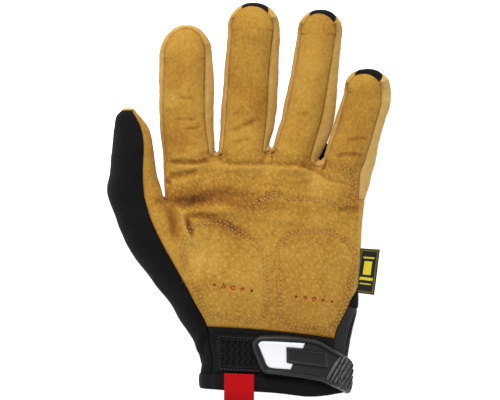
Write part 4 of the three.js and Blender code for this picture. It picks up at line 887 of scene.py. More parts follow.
wristAt = np.linspace(hand["wristFrom"], 0, 36)
addRun("wrist", palmRight(wristAt), along(littleRows, wristAt, "side"))
addRun("palmSide", palmRight(palmAt), along(littleRows, palmAt, "side"))
rowShare = np.clip(fingerRows / hand["tubeRows"], 0, 1)
for n in (3, 2, 1, 0):
    finger = fingers[n]
    place, lift = fingerPoint(n, 1, fingerRows)
    addRun(f"right{n}", place, along(finger["rows"], rowShare, "right"), lift)
    across = fingerU[::-1]
    place, lift = fingerPoint(n, across, topRow)
    edgeSide = np.where(across > 0, finger["rows"][-1]["right"], finger["rows"][-1]["left"])
    addRun(f"tip{n}", place, mix(finger["tip"]["side"], edgeSide, np.abs(across)), lift)
    place, lift = fingerPoint(n, -1, fingerRows[::-1])
    addRun(f"left{n}", place, along(finger["rows"], rowShare[::-1], "left"), lift)
    if n > 0:
        line, side = crotchCurve(n - 1)
        addRun(f"crotch{n - 1}", line[::-1], side[::-1])
downAt = palmAt[palmAt >= hand["crotchAt"] - 1e-9][::-1]
addRun("indexSide", palmLeft(downAt), along(indexSide, downAt, "side"), 0, along(indexSide, downAt, "round"))

edgePlace = np.array(edge["place"])
edgeSide = np.array(edge["side"]) * hand["side"]
edgeRound = np.array(edge["round"])
tangent = unit(np.gradient(edgePlace[:, :2], axis=0))
for _ in range(4):
    tangent[1:-1] = unit(tangent[:-2] + 2 * tangent[1:-1] + tangent[2:])
edgeOut = np.column_stack([tangent[:, 1], -tangent[:, 0]])
edgeReach = (edgeSide - hand["backInset"])[:, None]
edgeBack = np.column_stack([
    edgePlace[:, :2] + edgeOut * edgeReach, hand["backRise"] + np.array(edge["lift"]),
])


# Sections of the thumb: 0 degrees faces the palm, 90 up, 180 outward, 270 down
def lowerThumbRow(at):
    half = along(thumbLower, at, "reach") * hand["width"]
    mid = along(thumbLower, at, "mid") * hand["thumbHigh"]
    return {
        "middle": along(thumbLower, at, "x") * hand["width"] + half, "half": half,
        "y": along(thumbLower, at, "y") * hand["length"], "mid": mid,
        "top": along(thumbLower, at, "top") * hand["thumbHigh"], "seam": along(thumbLower, at, "seam"),
        "under": along(thumbLower, at, "under"), "below": mid - inset,
    }


# The rows above the crotch, with two of the rows below it to run on from
def thumbTable():
    rows = [{"at": up, **lowerThumbRow(at)} for at, up in ((thumbTip["from"], -0.1), (hand["crotchAt"], 0))]
    for k, row in enumerate(thumbUpper):
        mid, top = row["mid"] * hand["thumbHigh"], row["top"] * hand["thumbHigh"]
        rows.append({
            "at": (k + 1) * thumbTip["upStep"],
            "middle": (row["right"] + row["left"]) / 2 * hand["width"],
            "half": (row["right"] - row["left"]) / 2 * hand["width"], "y": row["y"] * hand["length"],
            "mid": mid, "top": top, "seam": row["seam"], "under": thumbTip["under"],
            "below": (top - mid) * thumbTip["belly"],
        })
    return rows


upperRows = thumbTable()
upperEnd = upperRows[-1]["at"]
thumbKeys = ("middle", "half", "y", "mid", "top", "seam", "under", "below")


# A row of the thumb at w: the palm's share up to the crotch, then on to the tip and its cap
def thumbRow(w):
    w = np.asarray(w, float)
    lower = lowerThumbRow(np.minimum(w, hand["crotchAt"]))
    beyond = np.clip(w - hand["crotchAt"], 0, upperEnd)
    isLow = w <= hand["crotchAt"]
    row = {key: np.where(isLow, lower[key], along(upperRows, beyond, key)) for key in thumbKeys}
    cap = np.clip((w - hand["crotchAt"] - upperEnd) / thumbTip["upStep"], 0, 1) * math.pi / 2
    tipMiddle = thumbTip["x"] * hand["width"]
    tipHigh = thumbTip["z"] * hand["thumbHigh"]
    shrink = np.cos(cap)
    row["y"] = row["y"] + (thumbTip["y"] * hand["length"] - upperRows[-1]["y"]) * np.sin(cap)
    row["middle"] = mix(tipMiddle, row["middle"], np.where(cap > 0, shrink, 1))
    row["half"] = row["half"] * shrink
    newMid = mix(tipHigh, row["mid"], np.where(cap > 0, shrink, 1))
    row["top"] = newMid + (row["top"] - row["mid"]) * shrink
    row["below"] = row["below"] * shrink
    row["mid"] = newMid
    return row


def thumbPlace(row, degrees):
    angle = np.radians(degrees)
    rise = np.sin(angle)
    z = row["mid"] + rise * np.where(rise > 0, row["top"] - row["mid"], row["below"])
    return together(row["middle"] + row["half"] * np.cos(angle), row["y"], z)


def seamDegrees(row):
    return np.degrees(np.arccos(row["seam"]))


def gapDegrees(row):
    return np.degrees(inset / np.maximum(row["half"], 1.5))


def backLeft(at):
    row = thumbRow(np.minimum(at, hand["crotchAt"]))
    return thumbPlace(row, row["under"])


crotchBack = backLeft(np.array(hand["crotchAt"]))
ids = runs["indexSide"]
blendIn = ease((downAt - hand["crotchAt"]) / hand["indexBlend"])
edgeBack[ids] = mix(crotchBack, edgeBack[ids], spread(blendIn))


def sidePoint(place, back, out, reach, roundness, t):
    bulge = (reach - (reach - hand["backInset"]) * 0.25) * 2
    middle = (place + back) / 2
    beyond = np.column_stack([place[:, :2] + out * bulge[:, None], middle[:, 2]])
    knee = mix(middle, beyond, spread(roundness))
    t = spread(t)
    return mix(mix(place, knee, t), mix(knee, back, t), t)


def edgeParts(ids):
    return [values[ids] for values in (edgePlace, edgeBack, edgeOut, edgeSide, edgeRound)]


def sideStrip(ids, t, trim=True):
    parts = edgeParts(ids)
    half = sidePoint(*parts, np.full(len(ids), 0.5))
    length = np.linalg.norm(parts[0] - half, axis=1) + np.linalg.norm(half - parts[1], axis=1)
    share = inset / length
    end = 1 - share * mix(2.2, 1, edgeRound[ids]) if trim else np.ones(len(ids))
    return np.stack([sidePoint(*parts, np.clip(np.full(len(ids), value), share, end)) for value in t], 1)


# Pixels of the photograph's frame as places on the glove
pixel = 0.6111


def fromPixels(places):
    places = np.array(places, float)
    return np.column_stack([(places[:, 0] - 249.5) * pixel, (199.5 - places[:, 1]) * pixel])


def fold(high, left, right, tone, path, fade=(0.15, 0.2)):
    return {"high": high, "left": left, "right": right, "tone": tone, "path": fromPixels(path), "fade": fade}


# Folds of the palm; a negative tone paints shade into a crease, a positive one paints a highlight onto a ridge
palmFolds = [
    fold(-1.3, 2.0, 1.0, -0.45, [(168, 163), (185, 163.3), (198, 163), (206, 161.5), (212, 159.5)]),
    fold(-0.9, 1.8, 0.8, -0.25, [
        (217, 160), (224, 163), (240, 164), (262, 163.8), (285, 164.8), (300, 166), (310, 168.5), (318, 173),
        (328, 178.5), (342, 183.5), (354, 187),
    ]),
    fold(1.2, 1.6, 3.5, 0.12, [
        (168, 167), (190, 167.3), (212, 164.5), (230, 168), (262, 168), (290, 169), (306, 172), (316, 177),
        (330, 183), (346, 188),
    ]),
    fold(-1.0, 1.5, 2.0, -0.35, [(168, 176), (184, 174.5), (200, 171)]),
    fold(0.8, 2.0, 2.0, 0.15, [(170, 186), (186, 181), (204, 176.5)]),
    fold(-1.6, 3.5, 5.0, -0.4, [
        (168, 200), (180, 202), (196, 199), (212, 194.5), (228, 192), (252, 195), (285, 199),
    ], (0.02, 0.6)),
    fold(1.6, 3.0, 3.2, 0.14, [
        (180, 214.5), (198, 210.6), (214, 210.2), (238, 212.7), (254, 215), (275, 218.6), (295, 221.5),
        (330, 234),
    ], (0.05, 0.75)),
    fold(-1.1, 1.6, 2.6, -0.32, [(183, 217), (196, 214.6), (208, 215.8), (222, 219)], (0.12, 0.7)),
    fold(-1.1, 3.0, 6.0, -0.42, [(196, 217), (214, 220), (230, 226), (244, 235), (258, 247)], (0.3, 0.5)),
    fold(1.0, 1.6, 5.0, 0.15, [(186, 223), (200, 221.5), (214, 224), (228, 229.5), (242, 238), (256, 250)]),
    fold(-0.6, 2.4, 2.4, -0.12, [(270, 250), (271.5, 280), (273, 315)]),
    fold(2.3, 3.0, 3.0, 0.34, [
        (165.2, 197.8), (169.2, 202.3), (175.1, 208.7), (180.6, 214.1), (184, 221.5), (187, 230.4),
        (190.9, 237.4), (195, 246),
    ]),
    fold(-0.4, 2.2, 1.8, -0.9, [(186.5, 217), (189, 224), (191.5, 231), (194.5, 241)], (0.25, 0.4)),
    fold(-1.1, 4.6, 2.8, -0.42, [(166, 200), (170.5, 211), (174, 223), (176, 236), (174, 250)], (0.3, 0.5)),
    fold(-0.8, 1.0, 1.8, -0.3, [(334, 155.5), (345, 154), (356, 154.2), (366, 157)]),
    fold(-0.6, 1.4, 1.4, -0.2, [(338, 211), (350, 209), (359, 211)]),
    fold(-0.4, 1.4, 1.4, -0.15, [(336, 200), (352, 196)]),
    fold(-0.5, 0.8, 0.8, -0.25, [(178, 98.6), (187, 98.6), (195, 97.6)]),
    fold(-0.5, 0.8, 0.8, -0.25, [(184, 129.5), (194, 128.5), (203, 126)]),
    fold(-0.4, 0.9, 0.9, -0.2, [(175.6, 119.5), (198, 119)]),
    fold(-0.6, 1.2, 1.2, -0.25, [(228.8, 130), (237.4, 128), (248.3, 123.6), (261.3, 118.2)]),
    fold(-0.5, 1.0, 1.0, -0.2, [(231, 143), (252.6, 137.7)]),
    fold(-0.5, 1.0, 1.0, -0.2, [(293.9, 114), (309, 113.9)]),
    fold(-0.5, 1.0, 1.0, -0.25, [(346, 141), (356, 139.5), (366, 138)]),
    fold(-0.8, 1.2, 1.2, -0.5, [(164, 178), (167.5, 181), (172, 184)]),
]
stitchPaths = [
    fromPixels([
        (183, 252), (185, 240), (190, 229), (198, 223.5), (210, 221.5), (224, 224), (238, 231), (250, 240),
        (260, 248), (265, 258), (265.5, 285), (265, 312), (260, 319.5), (249, 320), (232, 316.5), (214, 314),
        (207, 310), (199, 295), (189, 270), (183, 252),
    ]),
    fromPixels([
        (276.5, 252), (278.5, 280), (279, 305), (281, 317), (288, 324), (295, 325.5), (312, 328.4),
        (329, 330), (337, 322), (345, 304), (352, 276), (355, 260), (352, 248), (342, 238), (328, 231.5), (310, 231),
        (294.7, 233), (284, 239), (277, 248),
    ]),
    fromPixels([
        (259, 199), (268, 195.5), (278, 194.3), (290, 198), (310, 198.8), (323, 201.5), (336, 204.8),
        (347, 203), (353, 197), (353.6, 183), (349, 171), (340, 166.6), (331, 166.6),
    ]),
    fromPixels([(277, 194.5), (265, 198), (253, 206)]),
    fromPixels([(262, 198), (265, 206), (267, 216)]),
]
# Stitches: the end value paints shade where a stitch sinks into its hole, the top value a highlight on its top
stitch = {
    "pitch": 2.5, "thick": 0.27, "spread": 1.05, "rings": 5, "sides": 6, "share": 0.76,
    "bow": 1.1, "sink": 0.35, "endShade": -0.5, "topHighlight": 0.35,
}
ventHoles = {
    "thumb_side": {"from": (-0.167, -0.214), "to": (0.011, -0.228)},
    "little_side": {"from": (0.224, -0.244), "to": (0.4, -0.258)},
    "sizes": (0.55, 0.8, 1, 0.8, 0.55), "diameter": 2.8,
}


def ventPlaces(side):
    start, end = (np.array(ventHoles[side][key]) * [hand["width"], hand["length"]] for key in ("from", "to"))
    shares = np.linspace(0, 1, len(ventHoles["sizes"]))
    radii = np.array(ventHoles["sizes"]) * (ventHoles["diameter"] / 2)
    return [(mix(start, end, t), radius) for t, radius in zip(shares, radii)]


# Round hole in a sheet: the quads near it go, and a ring of triangles leads down to a true circle
def cutHole(sheet, centre, radius, sides=22, margin=0.9):
    middles = sheet.points[sheet.quads].mean(1)[:, :2]
    near = np.hypot(*(middles - centre).T) < radius + margin
    removed = Sheet()
    removed.points = sheet.points
    removed.quads = sheet.quads[near]
    loop = np.unique(removed.rim())
    offset = sheet.points[loop][:, :2] - centre
    order = np.argsort(np.arctan2(offset[:, 1], offset[:, 0]))
    outer = loop[order]
    outerAngle = np.arctan2(offset[:, 1], offset[:, 0])[order]
    angle = -math.pi + 2 * math.pi * np.arange(sides) / sides
    circle = centre + radius * np.column_stack([np.cos(angle), np.sin(angle)])
    high = []
    for place in circle:
        gap = np.hypot(*(sheet.points[outer][:, :2] - place).T) + 0.05
        high.append(np.sum(sheet.points[outer][:, 2] / gap ** 2) / np.sum(1 / gap ** 2))
    inner = len(sheet.points) + np.arange(sides)
    sheet.points = np.vstack([sheet.points, np.column_stack([circle, high])])
    ring = []
    i = j = 0
    while i < len(outer) or j < sides:
        nextOuter = outerAngle[i + 1] if i + 1 < len(outer) else outerAngle[0] + 2 * math.pi
        nextInner = angle[j + 1] if j + 1 < sides else angle[0] + 2 * math.pi
        a, b = outer[i % len(outer)], inner[j % sides]
        if j >= sides or (i < len(outer) and nextOuter <= nextInner):
            i += 1
            ring.append((a, outer[i % len(outer)], b, b))
        else:
            j += 1
            ring.append((a, inner[j % sides], b, b))
    return near, np.array(ring)


stripShares = np.linspace(0, 1, 13)


def sideBetween(ids, low, high):
    parts = edgeParts(ids)
    return np.stack([sidePoint(*parts, mix(low, high, t) * np.ones(len(ids))) for t in stripShares], 1)


thumbFront = {
    "bend": 32.0, "crotchGap": 1.6, "blend": 0.16, "columns": 27, "upperColumns": 17, "rows": 68,
    "capRows": 13, "crest": (0.55, 0.5, 0.6),
}


# One sheet holds the palm, the finger fronts and the front of the thumb, so folds run on across them
def thumbCurve(w, share):
    row = thumbRow(w)
    start = seamDegrees(row) - gapDegrees(row)
    atCrotch = w <= hand["crotchAt"] + 1e-6
    end = row["under"] - 360 + gapDegrees(row) * np.where(atCrotch, thumbFront["crotchGap"], 1)
    bend = np.minimum(thumbFront["bend"], mix(start, end, 0.5))
    first, second = mix(start, bend, np.clip(share, 0, 1)), mix(bend, end, np.clip(share - 1, 0, 1))
    return thumbPlace(row, np.where(share <= 1, first, second)), row, end


def lowerThumb(at, share):
    row = thumbRow(at)
    left = thumbPlace(row, seamDegrees(row) - gapDegrees(row))
    right = palmLeft(at)
    acrossX, acrossY, rise = thumbFront["crest"]
    crest = together(
        mix(left[..., 0], right[..., 0], acrossX), mix(left[..., 1], right[..., 1], acrossY),
        np.maximum(left[..., 2], right[..., 2]) + rise,
    )
    share = spread(share)
    return mix(mix(left, crest, share), mix(crest, right, share), share)


thumbShare = np.linspace(0, 1, thumbFront["columns"])
frontAt = palmAt[(palmAt >= hand["tanFrom"] - 1e-9) & (palmAt <= hand["crotchAt"] + 1e-9)]
share, at = np.meshgrid(thumbShare, frontAt)
lowerGrid = lowerThumb(at, share)
upperShare = np.concatenate([thumbShare, np.linspace(1, 2, thumbFront["upperColumns"])[1:]])
upperW = hand["crotchAt"] + np.linspace(0, upperEnd, thumbFront["rows"])
capW = hand["crotchAt"] + upperEnd + thumbTip["upStep"] * np.linspace(0, 1, thumbFront["capRows"])[1:]
thumbW = np.concatenate([upperW, capW])
share, w = np.meshgrid(upperShare, thumbW)
upperGrid, _, _ = thumbCurve(w, share)
firstPlace, firstRow, firstEnd = thumbCurve(np.full(len(upperShare), hand["crotchAt"]), upperShare)
crotchPlace = palmLeft(np.array(hand["crotchAt"]))
edgeLine = mix(crotchPlace, thumbPlace(firstRow, firstEnd), spread(np.clip(upperShare - 1, 0, 1)))
lowerLine = lowerGrid[-1][np.minimum(np.arange(len(upperShare)), len(thumbShare) - 1)]
target = np.where(spread(upperShare <= 1), lowerLine, edgeLine)
upperGrid = upperGrid + (target - firstPlace) * spread(1 - ease((w - hand["crotchAt"]) / thumbFront["blend"]))
upperGrid[0] = target

front = Sheet()
front.addGrid(palmGrid, mark="palm")
for n in range(4):
    u, row = np.meshgrid(fingerU, fingerRows)
    front.addGrid(fingerPoint(n, u, row)[0], mark=f"finger{n}")
# The leather wraps over the little-finger edge
wrap = {"from": 0.2, "reach": 0.6, "rise": 0.14}
isWrapped = (palmAt > wrap["from"]) & (palmAt <= hand["crotchAt"] + 1e-9)
wrapIds, wrapAt = runs["palmSide"][isWrapped], palmAt[isWrapped]
wrapReach = wrap["reach"] * ease((wrapAt - wrapAt[0]) / wrap["rise"])
front.addGrid(sideBetween(wrapIds, 0.0, wrapReach), mark="wrap")
front.addGrid(lowerGrid, mark="thumbLow")
front.addGrid(upperGrid, mark="thumbHigh")
# The cap of the thumb: leather goes right round it from here on
tanCapW = capW[capW >= hand["crotchAt"] + upperEnd + thumbTip["upStep"] * thumbTip["tanCapFrom"]]
t, w = np.meshgrid(np.linspace(0, 1, 45), tanCapW)
capRow = thumbRow(w)
capAngles = mix(seamDegrees(capRow) - gapDegrees(capRow), capRow["under"] + gapDegrees(capRow), t)
capGrid = thumbPlace(capRow, capAngles)
front.addGrid(capGrid, flip=True, mark="thumbCap")
front.weld()

# Wrist seam bows towards the fingers in its middle
wristBow = {"high": 1.6, "reach": 16.0}


def bowed(points):
    low, high = palmCorners[0], palmCorners[1]
    share = np.clip((points[:, 0] - low[0]) / (high[0] - low[0]), 0, 1)
    line = mix(low[1], high[1], share)
    near = np.exp(-(((points[:, 1] - line) / wristBow["reach"]) ** 2))
    out = points.copy()
    out[:, 1] += wristBow["high"] * 4 * share * (1 - share) * near
    return out


# The valley between the palm and the thumb is filled out, so that only its folds show there
valley = {"reach": 9.0, "passes": 30, "from": 11.0}
thumbSeam = palmLeft(np.linspace(hand["tanFrom"], hand["crotchAt"] - 0.02, 50))[:, :2]
seamAway, _, _ = pathField(front.points[:, :2], thumbSeam)
easing = 0.5 * ease(1 - seamAway / valley["reach"]) * (front.points[:, 2] > valley["from"])
easing[np.unique(front.rim())] = 0
links = np.vstack([front.quads[:, [k, (k + 1) % 4]] for k in range(4)])
for _ in range(valley["passes"]):
    sums, number = np.zeros(len(front.points)), np.zeros(len(front.points))
    for a, b in (links.T, links.T[::-1]):
        np.add.at(sums, a, front.points[b, 2])
        np.add.at(number, a, 1)
    front.points[:, 2] = mix(front.points[:, 2], sums / np.maximum(number, 1), easing)

front.points = bowed(front.points)
holes = ventPlaces("thumb_side") + ventPlaces("little_side")
gone = np.zeros(len(front.quads), bool)
rings = []
for centre, radius in holes:
    near, ring = cutHole(front, centre, radius)
    gone |= near
    rings.append(ring)
newMarks = {}
kept = []
for mark, (first, last) in front.marks.items():
    rows = front.quads[first:last][~gone[first:last]]
    if mark == "palm":
        rows = np.vstack([rows] + rings)
    start = sum(map(len, kept))
    newMarks[mark] = (start, start + len(rows))
    kept.append(rows)
front.quads = np.vstack(kept)
front.marks = newMarks
print("front sheet", len(front.points), "points,", len(front.quads), "quads")


# 1 where a point of the front sheet belongs to one of the marks
def marked(*marks):
    rows = np.concatenate([np.arange(*front.marks[mark]) for mark in marks])
    on = np.zeros(len(front.points))
    on[np.unique(front.quads[rows])] = 1
    return on


def awayFromVents(middles):
    keep = np.ones(len(middles), bool)
    for centre, radius in holes:
        keep &= np.hypot(*(middles[:, :2] - centre).T) > radius + 1.5
    return keep


frontXY = front.points[:, :2]
# Heights of the small relief in millimetres, and how far each thing darkens or lightens the leather: fold, stitch,
# rim and edge are painted shade and highlight, dot is partly a painted highlight, grain and broad are the leather's
# own mottling
relief = {"dot": 0.1, "grain": 0.06, "stitch": 0.28, "calm": 2.5, "wall": 1.4, "stitchedAbove": 8}
shade = {
    "fold": 0.6, "dot": 0.05, "grain": 0.07, "cap": 0.36, "rim": 0.13, "edge": 0.05, "broad": 0.06,
    "wrap": 0.12, "stitch": 0.1,
}
# The folds' tone is painted shade and highlight in the leather's colour
foldHigh, foldShading = reliefOf(frontXY, palmFolds)
foldShading *= shade["fold"]
palmMarks = ["palm", "finger0", "finger1", "finger2", "finger3", "wrap"]
thumbMarks = ["thumbLow", "thumbHigh", "thumbCap"]
isPalm, isThumb, isCap, isWrap = marked("palm"), marked(*thumbMarks), marked("thumbCap"), marked("wrap")
rimGap = front.rimDistance(awayFromVents)
inner = ease(rimGap / relief["calm"])
lumps = lumpy(front.points, (11.0, 3, 0.35), (5.0, 4, 0.16))
# Small lengthwise ripples between the big folds of the palm
rippleAt = bell(frontXY[:, 1] - fromPixels([(0, 200)])[0, 1], 22) * isPalm
slanted = np.column_stack([frontXY[:, 0] * 0.32 + frontXY[:, 1] * 0.1, frontXY[:, 1], frontXY[:, 0] * 0])
lumps += rippleAt * lumpy(slanted, (3.2, 14, 0.4), (1.9, 15, 0.16))
crinkle = softNoise(front.points * [1, 1.6, 1], 2.4, 8)
crinkleSpots = [((169, 186), 9.5, 0.35), ((191, 151), 8, 0.28), ((176, 170), 9, 0.2), ((340, 160), 8, 0.2)]
crinkleHigh = np.zeros(len(front.points))
for place, size, high in crinkleSpots:
    gap = np.hypot(*(frontXY - fromPixels([place])[0]).T)
    crinkleHigh += high * bell(gap, size * pixel) * crinkle
bulk = foldHigh * inner + lumps * inner + crinkleHigh * inner

# Dots of the grain: raised a little and paler, partly their own colour and partly a painted highlight on their tops
dots = bell(dotDistance(frontXY * [0.8, 1], 2.9, 2.7, 0.55, 11), 0.72)
fingerDots = bell(dotDistance(frontXY, 3.0, 2.4, 0.6, 12), 0.9)
dotHigh = np.where(isPalm > 0, dots, fingerDots * 0.5) * (1 - 0.6 * isThumb)
grain = lumpy(front.points, (1.1, 5, 0.5), (2.3, 6, 0.5))
# The leather dips along the stitch rows, with painted shade in the dip
stitchDip = np.zeros(len(front.points))
stitchShade = np.zeros(len(front.points))
for path in stitchPaths:
    gap, _, _ = pathField(frontXY, smoothPath(path, 3))
    stitchDip -= relief["stitch"] * bell(gap - stitch["spread"], 0.5)
    stitchShade -= shade["stitch"] * bell(gap - stitch["spread"], 0.7)
skin = dotHigh * relief["dot"] + grain * relief["grain"] + seamRoll(rimGap)
skin += stitchDip * (front.points[:, 2] > relief["stitchedAbove"])
tone = foldShading + (dotHigh - 0.2) * shade["dot"] + grain * shade["grain"] + stitchShade
# Painted shade along the rolled rims and within a few millimetres of the palm's edges; the thumb cap is paler
tone += shade["cap"] * isCap - shade["rim"] * bell(rimGap, 1.0) - shade["edge"] * bell(rimGap, 7.0) * isPalm
pebble = mix(0.3, 1.0, np.where(isThumb > 0, 0.5, isPalm)) * ease((rimGap - 0.8) / 2.0)
tone += shade["broad"] * softNoise(front.points, 22.0, 9) + shade["wrap"] * isWrap
# A little lighter on the left of the palm, darker on its right
tone += mix(0.01, -0.01, ease((frontXY[:, 0] + 12) / 40)) * isPalm
# Broad darker and paler places: painted shade in the palm's hollows under the crotches and along its folds, a faint
# painted highlight on its two pads, and a few darker places on the fingers
for place, size, strength in (
    ((188, 196), (24, 12), -0.2), ((246, 204), (46, 7), -0.17), ((171, 226), (8, 18), -0.06),
    ((212, 258), (24, 22), 0.03), ((300, 240), (40, 10), -0.05), ((180, 140), (18, 14), -0.06),
    ((262, 182), (40, 9), -0.07), ((250, 212), (50, 5), -0.1), ((300, 290), (40, 30), 0.03),
    ((258, 108), (8, 20), -0.08), ((268, 80), (6, 30), -0.05), ((240, 110), (10, 24), -0.06),
):
    off = (frontXY - fromPixels([place])[0]) / (np.array(size) * pixel)
    tone += strength * np.exp(-np.sum(off ** 2, axis=1))

middle = front.points + front.normals() * bulk[:, None]
frontFacing = front.normals(middle)
frontOuter = middle + frontFacing * skin[:, None]
frontInner = middle - frontFacing * relief["wall"]


inPalm = np.isin(np.arange(len(front.points)), front.quads[:front.marks["wrap"][1]])
onSeam = inPalm & (isThumb > 0)


# Panel cut out of the front sheet after it has been shaped as one
def addFrontPiece(name, node, marks):
    piece, used = front.part(marks)
    values = {"tone": np.concatenate([tone[used], tone[used] - 0.1]), "pebble": pebble[used]}
    made = addClosed(
        name, node, piece, frontOuter[used], frontInner[used], palmSuede, values,
    )
    # The two leathers shade as one across their shared seam
    facing = np.array([vertex.normal for vertex in made.data.vertices])
    shared = np.flatnonzero(onSeam[used])
    facing[shared] = front.normals(frontOuter)[used[shared]]
    made.data.normals_split_custom_set_from_vertices(facing.tolist())


addFrontPiece("palm_leather", "palm_panel", palmMarks)
addFrontPiece("thumb_leather", "thumb_front", thumbMarks)

# Side strips of the fingers, from the edge of the front round to the back


def tipIds(n, fromCap, toCap):
    across = fingerU[::-1]
    keep = (across <= toCap / 3 - 1 + 1e-6) & (across >= fromCap / 3 - 1 - 1e-6)
    return runs[f"tip{n}"][keep]


def spanIds(first, last):
    return np.arange(first, last + 1)


sideFrom = runs["palmSide"][np.argmin(np.abs(palmAt - hand["crotchAt"]))]
# How much of the side is black fabric there: all of it in the middle of a cap, none past its pointed ends
cap = {"beyond": 3, "taper": 10}
capShare = np.zeros(len(edgePlace))
capIds = {}
capMiddle = {0: (tipIds(0, 0, 3)[0], tipIds(0, 3, 6)[-1])}
for n in (1, 2, 3):
    first = tipIds(n, 0, fingers[n]["capTo"])[0] - cap["beyond"]
    last = tipIds(n, fingers[n]["capFrom"], 6)[-1] + cap["beyond"]
    capIds[n] = spanIds(first, last)
    steps = np.arange(len(capIds[n]))
    taper = np.clip(np.minimum(steps, steps[::-1]) / cap["taper"], 0, 1)
    capShare[capIds[n]] = np.sin(taper * math.pi / 2)
    capMiddle[n] = (first + cap["taper"], last - cap["taper"])
sides = {
    "little_outer": (sideFrom, capMiddle[3][0]),
    "ring_little": (capMiddle[3][1], capMiddle[2][0]),
    "middle_ring": (capMiddle[2][1], capMiddle[1][0]),
    "index_middle": (capMiddle[1][1], capMiddle[0][0]),
    "index_outer": (capMiddle[0][1], runs["indexSide"][-1]),
}
strip = {"wall": 1.2, "calm": 1.5, "roll": (0.4, 1.0), "tone": 0.06, "outerTone": 0.2}
for name, (first, last) in sides.items():
    ids = spanIds(first, last)
    sheet = Sheet().addGrid(sideBetween(ids, capShare[ids], 1.0)).weld()
    gap = sheet.rimDistance()
    bulk = lumpy(sheet.points, (8, 21, 0.3), (3.2, 22, 0.16)) * ease(gap / strip["calm"])
    grain = softNoise(sheet.points, 1.2, 23)
    # Painted shade: the strips darken towards the floor and along their seams; the outer strip on the little-finger
    # side is paler than the rest
    low = ease((9 - sheet.points[:, 2]) / 9)
    pallor = strip["outerTone"] if name == "little_outer" else strip["tone"]
    values = {"tone": grain * 0.08 - 0.14 * bell(gap, 0.9) - low * 0.25 + pallor}
    skin = grain * 0.05 + seamRoll(gap, *strip["roll"])
    addPanel(
        f"side_{name}", f"sidewall_{name}", sheet, strip["wall"], sideSuede, bulk, skin,
        values,
    )

# Back of the hand, flat on the floor, with the tips and the little-finger edge turned up
stride = 2
backForm = {"leftFlat": 0.14, "rightFlat": 0.1, "topFrom": 0.93, "topOver": 0.07, "webRows": 14}
backColumns = np.concatenate([
    np.arange(start, start + counts["finger"] + counts["crotch"], stride)
    for start in np.arange(3) * (counts["finger"] + counts["crotch"])
] + [3 * (counts["finger"] + counts["crotch"]) + np.arange(0, counts["finger"] + 1, stride)])
backAt = np.concatenate([wristAt[:-1], palmAt])
leftBackAt = np.concatenate([wristAt[:-1], palmAt[palmAt < hand["crotchAt"] - 1e-9]])
leftBack = np.vstack([backLeft(leftBackAt), edgeBack[runs["indexSide"]][::-1]])
rightBack = np.vstack([edgeBack[runs["wrist"]][:-1], edgeBack[runs["palmSide"]]])


def flatten(u):
    return ease((np.abs(u) - 0.5) / 0.5)


topBack = []
for n in range(4):
    left, right = edgeBack[runs[f"left{n}"][-1]], edgeBack[runs[f"right{n}"][0]]
    line = mix(left, right, spread((fingerU[::stride] + 1) / 2))
    line[:, 2] *= flatten(fingerU[::stride])
    topBack.append(line)
    if n < 3:
        topBack.append(edgeBack[runs[f"crotch{n}"]][::-1][stride:-1:stride])
topBack = np.vstack(topBack)
backShare = topShare[backColumns]
u, v = np.meshgrid(backShare, (backAt - hand["wristFrom"]) / (1 - hand["wristFrom"]))
bottom = mix(leftBack[0], rightBack[0], spread(u))
backCorners = [leftBack[0], rightBack[0], topBack[0], topBack[-1]]
leftColumn = leftBack[:, None, :]
rightColumn = rightBack[:, None, :]
backGrid = patchPlan(leftColumn, rightColumn, bottom, topBack[None], backCorners, u, v)
leftFade, rightFade = 1 - ease(u / backForm["leftFlat"]), 1 - ease((1 - u) / backForm["rightFlat"])
flat = leftBack[:, 2:] * leftFade + rightBack[:, 2:] * rightFade
topFade = ease((backAt[:, None] - backForm["topFrom"]) / backForm["topOver"])
backGrid[..., 2] = mix(flat, topBack[None, :, 2], topFade)
backGrid[-1] = topBack
backGrid[:, 0] = leftBack
backGrid[:, -1] = rightBack
back = Sheet().addGrid(backGrid, flip=True)
for n in range(4):
    u, row = np.meshgrid(fingerU[::stride], fingerRows)
    place, lift = fingerPoint(n, u, row)
    left = edgeBack[runs[f"left{n}"]][::-1][:, None]
    right = edgeBack[runs[f"right{n}"]][:, None]
    flat = mix(left, right, spread((u + 1) / 2))
    tipShare = np.clip((row - hand["tubeRows"]) / hand["tipRows"], 0, 1)
    grid = together(flat[..., 0], mix(flat[..., 1], place[..., 1], tipShare),
                    lift + hand["backRise"] * mix(flatten(u), 1, tipShare ** 3))
    grid[0] = topBack[n * (counts["finger"] + counts["crotch"]) // stride:][:len(fingerU[::stride])]
    grid[-1] = edgeBack[runs[f"tip{n}"]][::-1][::stride]
    grid[:, 0] = left[:, 0]
    grid[:, -1] = right[:, 0]
    back.addGrid(grid, flip=True)
# The fabric reaches up a little between the ring and the little finger
web = [edgeBack[runs["crotch2"]][::-1][::stride]]
webShare = spread(np.linspace(0, 1, len(web[0])))
webSpan = slice(1, backForm["webRows"])
for ringId, littleId in zip(runs["right2"][webSpan], runs["left3"][::-1][webSpan]):
    web.append(mix(edgeBack[ringId], edgeBack[littleId], webShare))
back.addGrid(np.stack(web), flip=True)
for n in (1, 2, 3):
    back.addGrid(sideBetween(capIds[n], 0.0, capShare[capIds[n]]))
edgeIds = spanIds(runs["palmSide"][np.argmin(np.abs(palmAt - hand["slitTop"]))], sideFrom)
edgeReach = np.zeros(len(edgeIds))
edgeReach[-len(wrapReach):] = wrapReach
back.addGrid(sideBetween(edgeIds, edgeReach, 1.0))
lowIds = spanIds(runs["wrist"][0], edgeIds[0])
back.addGrid(sideStrip(lowIds, np.array([0.8, 0.9, 1]), trim=False))
back.weld()
backLook = {"wall": 1.3, "calm": 2, "roll": (0.5, 1.2)}
bulk = lumpy(back.points, (12, 31, 0.3), (5, 32, 0.12)) * np.where(back.points[:, 2] < 1.5, 0.3, 1)
